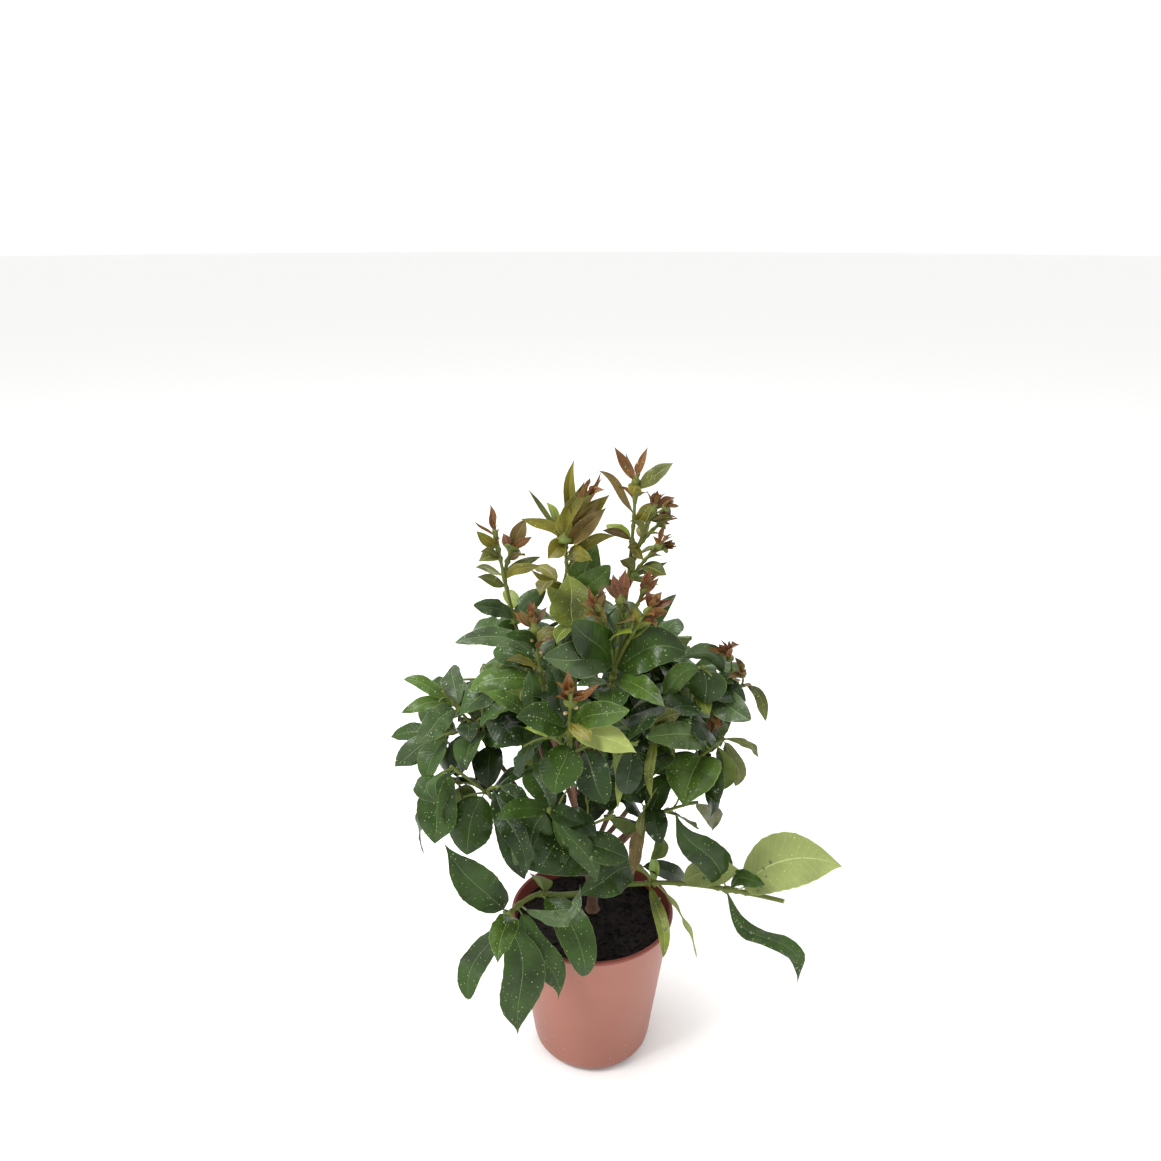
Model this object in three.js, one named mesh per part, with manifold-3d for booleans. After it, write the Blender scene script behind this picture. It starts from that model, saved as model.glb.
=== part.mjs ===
// A young lemon tree in a nursery pot, about 54 cm tall.
// Millimetres, +Z up. The origin is the middle of the pot's flat underside, and the front faces -Y.
import * as THREE from 'three';
import { mergeVertices } from 'three/addons/utils/BufferGeometryUtils.js';
import Module from 'manifold-3d';

const wasm = await Module();
wasm.setup();

const V = (x, y, z) => new THREE.Vector3(x, y, z);
const RAD = Math.PI / 180;

// Pot: a thin-walled 14 cm nursery pot with a small rolled lip
const POT_HEIGHT = 135;
const RIM_RADIUS = 70;
const LIP_HEIGHT = 3;
const LIP_DEPTH = 1.5;
const LIP_ROUND = 0.8;
const BASE_RADIUS = 50;
const BASE_ROUNDING = 8;
const WALL = 1.4;
const DRAIN_HOLES = 6;
const DRAIN_WIDTH = 12;
const DRAIN_HEIGHT = 4;
const DRAIN_SILL = 2;
const DRAIN_TURN = 9;
const SOIL_BELOW_RIM = 12;
const POT_SIDES = 32;
const SOIL_SIDES = 24;
const CLEAR = 0.3;

// Trunk: from a flat cut on the compost to the low fork
const TRUNK_FOOT = [0, 12];
const TRUNK_BEND = [2, 10, 150];
const TRUNK_TOP = [-7, 6, 184];
const TRUNK_RADIUS = 4.4;
const TRUNK_TOP_RADIUS = 3.6;
const FLARE = 1.7;
const FLARE_FADE = 0.9;
const BASE_CUT = 3;
const TRUNK_STEP = 8;
const TRUNK_SIDES = 8;

// Boughs and twigs: their radii, the distance between their rings and the sides of each ring
const BOUGH_RADIUS = 2.5;
const BOUGH_TIP_RADIUS = 1.7;
const BOUGH_STEP = 32;
const BOUGH_SIDES = 5;
const TWIG_RADIUS = 1.35;
const TWIG_TIP_RADIUS = 1.1;
const TWIG_STEP = 22;
const TWIG_SIDES = 3;
const TWIG_BEND = 0.4;

// Boughs: what each grows from, how far along it, where its tip is and how far it sags below a straight line
const BOUGHS = [
  { name: 'leader', from: 'trunk', at: 1, tip: [-14, 8, 322], sag: 4 },
  { name: 'bough_top_right', from: 'leader', at: 0.55, tip: [14, 2, 352], sag: 10 },
  { name: 'bough_top_left', from: 'leader', at: 0.4, tip: [-46, -6, 345], sag: 12 },
  { name: 'bough_bronze', from: 'leader', at: 0.3, tip: [12, -26, 345], sag: 12 },
  { name: 'bough_upper_left', from: 'leader', at: 0.2, tip: [-33, -44, 340], sag: 14 },
  { name: 'bough_left', from: 'trunk', at: 0.96, tip: [-80, 4, 280], sag: 18 },
  { name: 'bough_left_low', from: 'trunk', at: 0.9, tip: [-74, -22, 250], sag: 16 },
  { name: 'bough_front', from: 'trunk', at: 0.95, tip: [-16, -70, 312], sag: 22 },
  { name: 'bough_front_low', from: 'trunk', at: 0.86, tip: [-16, -46, 226], sag: 8 },
  { name: 'bough_right', from: 'trunk', at: 0.96, tip: [66, 2, 300], sag: 18 },
  { name: 'bough_right_mid', from: 'trunk', at: 0.88, tip: [60, -14, 262], sag: 14 },
  { name: 'bough_right_low', from: 'trunk', at: 0.8, tip: [36, -26, 234], sag: 8 },
  { name: 'bough_back_left', from: 'trunk', at: 0.9, tip: [-52, 62, 276], sag: 16 },
  { name: 'bough_back_right', from: 'trunk', at: 0.9, tip: [46, 66, 280], sag: 16 },
  { name: 'bough_back_low', from: 'trunk', at: 0.8, tip: [2, 66, 232], sag: 10 },
  { name: 'shoot_low_right', from: 'trunk', at: 0.55, tip: [44, -9, 167], sag: 3 },
  { name: 'shoot_low_left', from: 'trunk', at: 0.4, tip: [-37, -28, 170], sag: 5 },
];

// Masses of foliage. The first shoot is the stem, which carries on from the bough's tip.
// shoots: [grows from, how far along, tip, seeded leaves, longest leaf, youth, turn]
// leaves that show by themselves: [shoot, how far along, tip, droop, roll, twist, youth]
const MASSES = [
  {
    name: 'foliage_top_right', bough: 'bough_top_right', reach: 70,
    shoots: [
      [-1, 1, [31, 0, 520], 5, 34, 0.7, 20],
      [0, 0.56, [46, -5, 500], 6, 30, 1, 80],
      [0, 0.52, [50, -20, 474], 6, 30, 1, 10],
      [1, 0.5, [52, 2, 484], 4, 26, 1, 50],
    ],
    leaves: [
      [0, 0.97, [14, 4, 540], 10, 0, 0, 0.8],
      [0, 0.98, [39, 2, 542], 10, 0, 0, 1],
      [0, 0.94, [57, -5, 531], 25, -20, 0, 0.4],
      [0, 0.87, [42, -15, 501], 50, 0, 0, 0.5],
      [0, 0.84, [3, 10, 521], 40, 30, 0, 0.5],
      [0, 0.72, [35, -20, 464], 40, 0, 0, 0.5],
    ],
  },
  {
    name: 'foliage_top_centre', bough: 'leader', reach: 80,
    shoots: [
      [-1, 1, [-22, -14, 480], 6, 46, 0.6, 40],
    ],
    leaves: [
      [0, 0.98, [-14, -8, 534], 15, 0, 0, 1],
      [0, 0.9, [-28, -38, 508], 20, 0, 0, 0.8],
      [0, 0.97, [12, -15, 510], 35, -20, 0, 0.6],
      [0, 0.99, [4, -10, 527], 15, 0, 0, 1],
      [0, 0.95, [-6, -36, 520], 15, 0, 0, 1],
      [0, 0.78, [14, -34, 494], 15, -30, 0, 0.8],
      [0, 0.84, [-66, -36, 476], 80, 0, 0, 0.6],
      [0, 0.74, [-50, 12, 510], 30, -19, 0, 0.6],
      [0, 0.82, [-30, -50, 462], 50, 0, 0, 0.6],
      [0, 0.66, [-13, -50, 430], 60, -10, 0, 0.2],
      [0, 0.6, [6, 14, 462], 30, 10, 0, 0],
    ],
  },
  {
    name: 'foliage_top_left', bough: 'bough_top_left', reach: 70,
    shoots: [
      [-1, 1, [-72, -30, 487], 3, 34, 0.7, 0],
      [0, 0.75, [-60, -16, 470], 3, 26, 0.9, 120],
    ],
    leaves: [
      [0, 0.98, [-74, -32, 506], 5, 0, 0, 1],
      [0, 0.96, [-86, -28, 495], 10, 60, 0, 1],
      [0, 0.9, [-84, -38, 486], 20, 20, 0, 0.6],
      [0, 0.86, [-82, -44, 472], 40, 0, 0, 0.5],
      [1, 0.98, [-49, -18, 491], 60, 10, 0, 0.6],
      [0, 0.62, [-85, -35, 452], 20, 0, 0, 0.7],
      [0, 0.68, [-88, -8, 458], 20, 20, 0, 0.7],
      [0, 0.62, [-40, -20, 466], 50, 0, 0, 0.4],
      [0, 0.46, [-42, -42, 450], 60, 0, 0, 0.5],
      [0, 0.36, [-87, -46, 427], 50, 0, 0, 0],
      [0, 0.32, [-58, 18, 436], 40, 0, 0, 0],
    ],
  },
  {
    name: 'foliage_bronze', bough: 'bough_bronze', reach: 80,
    shoots: [
      [-1, 1, [20, -35, 444], 5, 38, 1, 200],
      [0, 0.4, [40, -28, 446], 6, 34, 1, 30],
      [0, 0.35, [42, -50, 436], 6, 36, 1, 60],
      [0, 0.35, [2, -45, 436], 6, 38, 1, 100],
    ],
    leaves: [
      [0, 0.38, [-32, -85, 412], 35, 10, 0, 0],
      [0, 0.3, [-12, -72, 430], 30, 0, 0, 0],
      [0, 0.34, [66, -54, 398], 45, 0, 0, 0],
      [0, 0.28, [50, -78, 372], 30, 10, 0, 0],
      [0, 0.18, [14, -78, 366], 60, 0, 0, 0],
      [0, 0.36, [60, -8, 424], 40, 0, 0, 0],
    ],
  },
  {
    name: 'foliage_upper_left', bough: 'bough_upper_left', reach: 80,
    shoots: [
      [-1, 1, [-43, -65, 434], 5, 36, 1, 300],
      [0, 0.3, [-64, -36, 388], 4, 56, 0.1, 60],
    ],
    leaves: [
      [0, 0.66, [-99, -70, 416], 40, 0, 0, 0],
      [0, 0.56, [-76, -38, 396], 40, 0, 0, 0],
      [0, 0.44, [-92, -62, 374], 80, 0, 0, 0],
      [0, 0.5, [-42, -98, 378], 60, 0, 0, 0],
      [0, 0.7, [-62, -88, 430], 40, 0, 0, 0.3],
    ],
  },
  {
    name: 'foliage_front', bough: 'bough_front', reach: 90,
    shoots: [
      [-1, 1, [-15, -114, 398], 4, 44, 0.9, 45],
      [0, 0.25, [32, -84, 342], 4, 56, 0, 0],
      [0, 0.25, [-52, -78, 362], 4, 56, 0, 90],
    ],
    leaves: [
      [0, 0.98, [-17, -120, 420], 10, 0, 0, 1],
      [0, 0.94, [6, -122, 410], 10, 0, 0, 1],
      [0, 0.6, [-30, -108, 414], 40, 0, 0, 0],
      [0, 0.55, [-51, -120, 380], 35, 0, 0, 0],
      [0, 0.55, [22, -128, 388], 40, 0, 0, 0],
      [0, 0.45, [31, -132, 358], 30, 110, 0, 0.2],
      [0, 0.4, [-26, -124, 326], 40, 0, 0, 0],
      [1, 0.3, [9, -112, 310], 45, 0, 0, 0],
      [1, 0.95, [24, -98, 308], 50, 0, 0, 0],
      [1, 0.7, [20, -76, 280], 30, 60, 0, 0.7],
      [2, 0.9, [-73, -96, 388], 35, 0, 0, 0],
    ],
  },
  {
    name: 'foliage_front_low', bough: 'bough_front_low', reach: 90,
    shoots: [
      [-1, 1, [-34, -62, 274], 5, 54, 0, 120],
      [0, 0.3, [18, -52, 262], 5, 54, 0, 150],
    ],
    leaves: [
      [0, 0.4, [-55, -97, 240], 35, 0, 0, 0],
      [0, 0.8, [-56, -98, 270], 30, 0, 0, 0],
      [0, 0.98, [-5, -96, 278], 30, 0, 0, 0],
      [0, 0.9, [-50, -30, 296], 30, 0, 0, 0],
      [0, 0.95, [-76, -86, 286], 40, 0, 0, 0],
      [1, 0.98, [34, -72, 236], 50, 0, 0, 0.2],
    ],
  },
  {
    name: 'foliage_left', bough: 'bough_left', reach: 80,
    shoots: [
      [-1, 1, [-120, -5, 345], 5, 44, 0.3, 75],
      [0, 0.4, [-130, -12, 304], 3, 46, 0.1, 15],
      [0, 0.3, [-112, 34, 334], 5, 50, 0.1, 160],
      [0, 0.2, [-84, -8, 356], 6, 50, 0.1, 240],
    ],
    leaves: [
      [0, 0.85, [-152, 0, 353], 50, 10, 0, 0],
      [0, 0.8, [-154, -10, 328], 60, 0, 0, 0.2],
      [0, 0.75, [-137, -36, 316], 50, 0, 0, 0],
      [1, 0.8, [-168, 2, 300], 40, 0, 0, 0],
      [1, 0.9, [-159, -18, 284], 40, 0, 0, 0],
      [1, 0.7, [-134, -36, 282], 40, 0, 0, 0],
      [0, 0.5, [-110, -54, 296], 60, 0, 0, 0],
      [0, 0.4, [-100, -48, 300], 50, 0, 0, 0],
      [0, 0.75, [-118, 34, 350], 50, 0, 0, 0],
    ],
  },
  {
    name: 'foliage_left_low', bough: 'bough_left_low', reach: 90,
    shoots: [
      [-1, 1, [-112, -34, 294], 3, 54, 0, 20],
      [0, 0.3, [-72, -54, 288], 3, 54, 0, 140],
    ],
    leaves: [
      [0, 0.98, [-124, -54, 235], 30, 10, 0, 0],
      [0, 0.4, [-97, -50, 224], 40, 0, 0, 0],
      [0, 0.9, [-149, -4, 186], 50, 60, 0, 0],
      [1, 0.98, [-48, -88, 288], 60, 0, 0, 0],
      [1, 0.7, [-54, -92, 244], 40, 0, 0, 0],
      [1, 0.4, [-52, -64, 208], 40, 0, 0, 0],
    ],
  },
  {
    name: 'foliage_right', bough: 'bough_right', reach: 80,
    shoots: [
      [-1, 1, [110, -5, 366], 5, 26, 1, 10],
      [0, 0.6, [120, -6, 352], 4, 24, 0.9, 100],
      [0, 0.3, [84, -22, 376], 3, 50, 0.1, 170],
      [0, 0.2, [84, 34, 348], 6, 54, 0.1, 250],
    ],
    leaves: [
      [2, 0.98, [62, -28, 388], 60, 0, 0, 0],
      [2, 0.9, [86, -56, 356], 50, 0, 0, 0],
      [0, 0.66, [108, -44, 336], 40, 0, 0, 0],
      [1, 0.98, [135, -18, 324], 120, 0, 0, 0],
      [2, 0.5, [70, -44, 366], 40, 0, 0, 0],
    ],
  },
  {
    name: 'foliage_right_mid', bough: 'bough_right_mid', reach: 90,
    shoots: [
      [-1, 1, [104, -18, 312], 4, 50, 0, 60],
      [0, 0.2, [42, -50, 340], 4, 50, 0.1, 150],
    ],
    leaves: [
      [0, 0.8, [46, -72, 340], 30, 0, 0, 0],
      [0, 0.75, [78, -66, 272], 40, 0, 0, 0],
      [0, 0.66, [97, -44, 268], 40, 0, 0, 0.1],
      [0, 0.9, [102, -18, 264], 40, 0, 0, 0],
      [0, 0.96, [118, -14, 262], 50, 20, 0, 0],
      [0, 0.98, [138, -2, 280], 50, 30, 0, 0.2],
      [1, 0.98, [62, -48, 358], 30, 0, 0, 0.2],
      [1, 0.9, [43, -88, 300], 50, 50, 0, 0.2],
      [1, 0.5, [28, -66, 296], 50, 0, 0, 0],
    ],
  },
  {
    name: 'foliage_right_low', bough: 'bough_right_low', reach: 90,
    shoots: [
      [-1, 1, [84, -32, 262], 5, 54, 0, 90],
      [0, 0.1, [40, -48, 268], 3, 54, 0, 210],
    ],
    leaves: [
      [0, 0.95, [102, 0, 210], 40, 30, 0, 0],
      [0, 0.3, [56, -30, 208], 50, 20, 0, 0],
      [1, 0.9, [38, -52, 244], 50, 40, 0, 0.2],
      [0, 0.3, [32, -52, 208], 40, 40, 0, 0.3],
    ],
  },
  {
    name: 'foliage_back_left', bough: 'bough_back_left', reach: 90,
    shoots: [
      [-1, 1, [-76, 104, 350], 8, 62, 0.3, 0],
      [0, 0.4, [-118, 76, 316], 7, 60, 0, 90],
      [0, 0.35, [-40, 118, 326], 7, 60, 0, 150],
      [0, 0.3, [-50, 74, 366], 7, 58, 0.2, 200],
    ],
    leaves: [],
  },
  {
    name: 'foliage_back_right', bough: 'bough_back_right', reach: 90,
    shoots: [
      [-1, 1, [66, 108, 350], 8, 62, 0.3, 30],
      [0, 0.4, [108, 78, 314], 7, 60, 0, 120],
      [0, 0.35, [30, 122, 326], 7, 60, 0, 180],
      [0, 0.3, [42, 70, 370], 7, 58, 0.2, 230],
    ],
    leaves: [],
  },
  {
    name: 'foliage_back_low', bough: 'bough_back_low', reach: 90,
    shoots: [
      [-1, 1, [4, 112, 288], 7, 62, 0, 60],
      [0, 0.4, [-46, 98, 262], 6, 62, 0, 150],
      [0, 0.4, [52, 100, 260], 6, 62, 0, 240],
    ],
    leaves: [],
  },
  {
    name: 'foliage_low_right', bough: 'shoot_low_right', reach: 115,
    shoots: [
      [-1, 1, [156, -40, 174], 0, 60, 0, 0],
      [0, 0.05, [36, -15, 190], 0, 60, 0, 0],
    ],
    leaves: [
      [0, 0.72, [199, -50, 212], 25, 130, 0, 0],
      [0, 0.32, [121, -32, 197], 25, 130, 0, 0],
      [0, 0.56, [68, 18, 226], 20, -60, 60, 0.2],
      [0, 0.68, [134, -62, 206], 40, 0, 0, 0],
      [0, 0.78, [158, 6, 210], 30, 0, 0, 0],
      [0, 0.6, [170, -50, 92], 40, -60, 50, 0],
      [1, 0.9, [90, 5, 172], 40, 0, 0, 0],
      [0, 0.04, [58, -62, 134], 60, 60, 0, 0.2],
      [0, 0.1, [89, -52, 128], 60, 80, 0, 0.2],
      [1, 0.98, [-3, -72, 204], 30, 0, 0, 0],
    ],
  },
  {
    name: 'foliage_low_left', bough: 'shoot_low_left', reach: 115,
    shoots: [
      [-1, 1, [-67, -75, 184], 0, 60, 0, 0],
    ],
    leaves: [
      [0, 0.98, [-108, -88, 261], 15, 60, 0, 0],
      [0, 0.98, [-58, -104, 94], 35, 0, 0, 0],
      [0, 0.97, [-68, -112, 174], 60, 0, 0, 0],
      [0, 0.9, [-107, -62, 105], 50, 60, 0, 0],
      [0, 0.5, [-25, -88, 110], 40, 0, 0, 0],
      [0, 0.2, [-2, -84, 131], 60, 0, 0, 0],
      [0, 0.3, [-8, -66, 202], -50, 0, 0, 0],
      [0, 0.05, [-49, -45, 204], 20, 0, 0, 0.2],
    ],
  },
];

// Leaf: width, stalk and thickness as shares of its length, then its least sizes in millimetres
const MATURE_WIDTH = 0.54;
const YOUNG_WIDTH = 0.32;
const PETIOLE = 1 / 12;
const LEAF_THICKNESS = 0.014;
const LEAST_THICKNESS = 0.7;
const STALK_RADIUS = 0.5;
const FOLD = 14;
const YOUNG_FOLD = 34;

// The rib has twelve steps; a long leaf gets more rings across it than a short one
const RIB_STEPS = 12;
const LONG_LEAF = 68;
const SHORT_LEAF = 36;
const LONG_RINGS = [3, 6, 9];
const MIDDLE_RINGS = [3, 7];
const SHORT_RINGS = [5];
const TEST_RINGS = [1, 4, 7, 10, 12];

// Room round a leaf: to other masses, to limbs, round the pot's rim and above the ground
const LEAF_ROOM = 0.75;
const EDGE_ROOM = 0.4;
const LIMB_ROOM = 0.5;
const POT_ROOM = 4;
const GROUND_ROOM = 20;

// Growth along a shoot: where leaves begin, the turn from each to the next, and how old and young ones differ
const FIRST_LEAF = 0.12;
const SPIRAL = 135;
const LEAST_LENGTH = 0.82;
const LENGTH_SPREAD = 0.26;
const YOUNG_SHORTER = 0.55;
const TILT_SPREAD = 14;
const ROLL_SPREAD = 30;
const YOUNG_DROOP = 14;
const OLD_DROOP = 44;
const OLD_HANG = 26;
const OLD_FORWARD = 0.42;
const YOUNG_FORWARD = 1.32;

// A leaf that would touch something is tried again: swung round the shoot, dropped and made shorter
const TRIES = [
  [0, 0, 1],
  [28, 0, 1],
  [-28, 0, 1],
  [0, -25, 0.95],
  [50, 10, 0.9],
  [-50, 10, 0.9],
  [15, 30, 0.85],
  [-20, -40, 0.85],
];

const MATERIALS = {
  pot: new THREE.MeshStandardMaterial({ color: 0xb67a69, roughness: 0.55, metalness: 0 }),
  soil: new THREE.MeshStandardMaterial({ color: 0x1d1512, roughness: 0.95, metalness: 0 }),
  bark: new THREE.MeshStandardMaterial({ color: 0x5a3a2a, roughness: 0.85, metalness: 0 }),
  leaf: new THREE.MeshStandardMaterial({ color: 0x2f5a2a, roughness: 0.5, metalness: 0 }),
};

// A repeatable run of numbers between 0 and 1
function seeded(seed) {
  let state = (seed * 2654435761) % 4294967296;
  return () => {
    state = (state * 1664525 + 1013904223) % 4294967296;
    return state / 4294967296;
  };
}

function toSolid(geometry) {
  const bare = geometry.clone();
  bare.deleteAttribute('normal');
  bare.deleteAttribute('uv');
  const merged = mergeVertices(bare, 1e-4);
  return new wasm.Manifold(new wasm.Mesh({
    numProp: 3,
    vertProperties: new Float32Array(merged.attributes.position.array),
    triVerts: new Uint32Array(merged.index.array),
  }));
}

function toMesh(name, solid, material) {
  const { vertProperties, triVerts } = solid.getMesh();
  const geometry = new THREE.BufferGeometry();
  geometry.setAttribute('position', new THREE.BufferAttribute(vertProperties, 3));
  geometry.setIndex(new THREE.BufferAttribute(triVerts, 1));
  geometry.computeVertexNormals();
  const mesh = new THREE.Mesh(geometry, material);
  mesh.name = name;
  return mesh;
}

// A closed skin over rings of points, anticlockwise seen from the far end; a last ring of one point is a tip
function loft(rings) {
  const sides = rings[0].length;
  const points = rings.flat();
  const faces = [];
  for (let i = 1; i < sides - 1; i += 1) faces.push(0, i + 1, i);
  for (let r = 0; r < rings.length - 1; r += 1) {
    const here = r * sides;
    const next = here + sides;
    const isTip = rings[r + 1].length === 1;
    for (let i = 0; i < sides; i += 1) {
      const j = (i + 1) % sides;
      if (isTip) {
        faces.push(here + i, here + j, next);
      } else {
        faces.push(here + i, here + j, next + j, here + i, next + j, next + i);
      }
    }
  }
  if (rings[rings.length - 1].length > 1) {
    const last = (rings.length - 1) * sides;
    for (let i = 1; i < sides - 1; i += 1) faces.push(last, last + i, last + i + 1);
  }
  const geometry = new THREE.BufferGeometry().setFromPoints(points);
  geometry.setIndex(faces);
  return geometry;
}

// The pot's wall turned about Z, closed on itself, with drain holes round the foot
function pot() {
  const bodyTop = RIM_RADIUS - LIP_DEPTH;
  const slope = (bodyTop - BASE_RADIUS) / POT_HEIGHT;
  const lipFoot = POT_HEIGHT - LIP_HEIGHT;
  const profile = [
    [0, 0],
    [BASE_RADIUS - BASE_ROUNDING, 0],
    [BASE_RADIUS + (slope / 2 - 1 + Math.SQRT1_2) * BASE_ROUNDING, BASE_ROUNDING * (1 - Math.SQRT1_2)],
    [BASE_RADIUS + slope * BASE_ROUNDING, BASE_ROUNDING],
    [bodyTop, lipFoot],
    [RIM_RADIUS, lipFoot],
    [RIM_RADIUS, POT_HEIGHT - LIP_ROUND],
    [RIM_RADIUS - LIP_ROUND, POT_HEIGHT],
    [bodyTop - WALL, POT_HEIGHT],
    [BASE_RADIUS - WALL + slope * BASE_ROUNDING, BASE_ROUNDING],
    [BASE_RADIUS - BASE_ROUNDING, WALL],
    [0, WALL],
  ];
  const shell = new THREE.LatheGeometry(profile.map(([r, z]) => new THREE.Vector2(r, z)), POT_SIDES);
  shell.rotateX(Math.PI / 2);
  let solid = toSolid(shell);
  for (let i = 0; i < DRAIN_HOLES; i += 1) {
    const hole = new THREE.BoxGeometry(BASE_ROUNDING, DRAIN_WIDTH, DRAIN_HEIGHT);
    hole.translate(BASE_RADIUS - BASE_ROUNDING / 2, 0, DRAIN_SILL + DRAIN_HEIGHT / 2);
    hole.rotateZ((DRAIN_TURN + i * (360 / DRAIN_HOLES)) * RAD);
    solid = solid.subtract(toSolid(hole));
  }
  return toMesh('pot', solid, MATERIALS.pot);
}

// The compost that fills the pot, as one plug clear of the wall
function soil() {
  const slope = (RIM_RADIUS - LIP_DEPTH - BASE_RADIUS) / POT_HEIGHT;
  const top = POT_HEIGHT - SOIL_BELOW_RIM;
  const inner = BASE_RADIUS - WALL - CLEAR;
  const profile = [
    [0, WALL + CLEAR],
    [BASE_RADIUS - BASE_ROUNDING - CLEAR, WALL + CLEAR],
    [inner + slope * BASE_ROUNDING, BASE_ROUNDING + CLEAR],
    [inner + slope * top, top],
    [0, top],
  ];
  const plug = new THREE.LatheGeometry(profile.map(([r, z]) => new THREE.Vector2(r, z)), SOIL_SIDES);
  plug.rotateX(Math.PI / 2);
  return toMesh('soil', toSolid(plug), MATERIALS.soil);
}

// A limb is a curve with a point, a direction and a radius at each of its rings
function limb(name, start, control, tip, startRadius, tipRadius, step) {
  const curve = new THREE.QuadraticBezierCurve3(start, control, tip);
  const count = Math.max(3, Math.round(start.distanceTo(tip) / step));
  const points = [];
  const ways = [];
  const radii = [];
  for (let i = 0; i <= count; i += 1) {
    points.push(curve.getPoint(i / count));
    ways.push(curve.getTangent(i / count));
    radii.push(startRadius + (tipRadius - startRadius) * (i / count));
  }
  return { name, curve, points, ways, radii };
}

// The limb as a solid; with `extra` it is that much fatter and longer at both ends
function limbGeometry({ points, ways, radii }, sides, extra = 0) {
  const last = points.length - 1;
  let across = V(1, 0.01, 0);
  const rings = points.map((point, i) => {
    const along = ways[i];
    const shift = extra * (i === last ? 1 : i === 0 ? -1 : 0);
    const middle = point.clone().addScaledVector(along, shift);
    across = across.clone().addScaledVector(along, -across.dot(along)).normalize();
    const up = along.clone().cross(across);
    const ring = [];
    for (let k = 0; k < sides; k += 1) {
      const a = (k / sides) * 2 * Math.PI;
      const spread = radii[i] + extra;
      ring.push(middle.clone()
        .addScaledVector(across, spread * Math.cos(a))
        .addScaledVector(up, spread * Math.sin(a)));
    }
    return ring;
  });
  return loft(rings);
}

// Heading, lean and length of a leaf that runs from its base to a given tip
function aim(base, tip, droop) {
  const way = tip.clone().sub(base);
  const half = Math.max(Math.abs(droop) * RAD / 2, 1e-6);
  return {
    heading: Math.atan2(way.y, way.x) / RAD,
    lean: Math.atan2(way.z, Math.hypot(way.x, way.y)) / RAD,
    length: way.length() * half / Math.sin(half),
  };
}

// Rib of a leaf: its chord leans at `lean` and it bends down by `droop` from stalk to tip
function leafShape({ base, heading, lean, length, droop, roll, twist, youth }) {
  const h = heading * RAD;
  const point = base.clone();
  const stations = [];
  for (let i = 0; i <= RIB_STEPS; i += 1) {
    const pitch = (lean + droop * (0.5 - i / RIB_STEPS)) * RAD;
    const up = V(-Math.sin(pitch) * Math.cos(h), -Math.sin(pitch) * Math.sin(h), Math.cos(pitch));
    const right = V(Math.sin(h), -Math.cos(h), 0);
    const r = (roll + twist * (i / RIB_STEPS)) * RAD;
    const across = right.clone().multiplyScalar(Math.cos(r)).addScaledVector(up, Math.sin(r));
    const normal = up.clone().multiplyScalar(Math.cos(r)).addScaledVector(right, -Math.sin(r));
    stations.push({ point: point.clone(), across, normal });
    const ahead = (lean + droop * (0.5 - (i + 0.5) / RIB_STEPS)) * RAD;
    point.add(V(Math.cos(ahead) * Math.cos(h), Math.cos(ahead) * Math.sin(h), Math.sin(ahead))
      .multiplyScalar(length / RIB_STEPS));
  }
  const fold = (FOLD + (YOUNG_FOLD - FOLD) * youth) * RAD;
  const width = length * (MATURE_WIDTH + (YOUNG_WIDTH - MATURE_WIDTH) * youth);
  return { stations, length, width, fold, thickness: Math.max(LEAF_THICKNESS * length, LEAST_THICKNESS) };
}

function bladeHalfWidth(shape, station) {
  const t = (station / RIB_STEPS - PETIOLE) / (1 - PETIOLE);
  if (t <= 0 || t >= 1) return 0;
  return (shape.width / 2) * Math.sin(Math.PI * t ** 0.9) ** 0.85;
}

// Left margin, rib and right margin of the blade, pushed along the normal by `lift`
function bladeRow(shape, station, lift, extra) {
  const { point, across, normal } = shape.stations[station];
  const half = bladeHalfWidth(shape, station) + extra;
  const out = half * Math.cos(shape.fold);
  const rise = half * Math.sin(shape.fold);
  const middle = point.clone().addScaledVector(normal, lift);
  return [
    middle.clone().addScaledVector(across, -out).addScaledVector(normal, rise),
    middle,
    middle.clone().addScaledVector(across, out).addScaledVector(normal, rise),
  ];
}

// A lens across the rib at each station, from a stalk sunk in its shoot to a pointed tip
function leafGeometry(shape) {
  let stations = MIDDLE_RINGS;
  if (shape.length > LONG_LEAF) stations = LONG_RINGS;
  if (shape.length <= SHORT_LEAF) stations = SHORT_RINGS;
  const half = shape.thickness / 2;
  const rings = [0, ...stations].map((station) => {
    const { point, across, normal } = shape.stations[station];
    const [left, , right] = bladeRow(shape, station, 0, 0);
    const bare = station === 0;
    const depth = bare ? STALK_RADIUS : half;
    return [
      bare ? point.clone().addScaledVector(across, STALK_RADIUS) : right,
      point.clone().addScaledVector(normal, -depth),
      bare ? point.clone().addScaledVector(across, -STALK_RADIUS) : left,
      point.clone().addScaledVector(normal, depth),
    ];
  });
  rings.push([shape.stations[RIB_STEPS].point.clone()]);
  return loft(rings);
}

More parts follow.
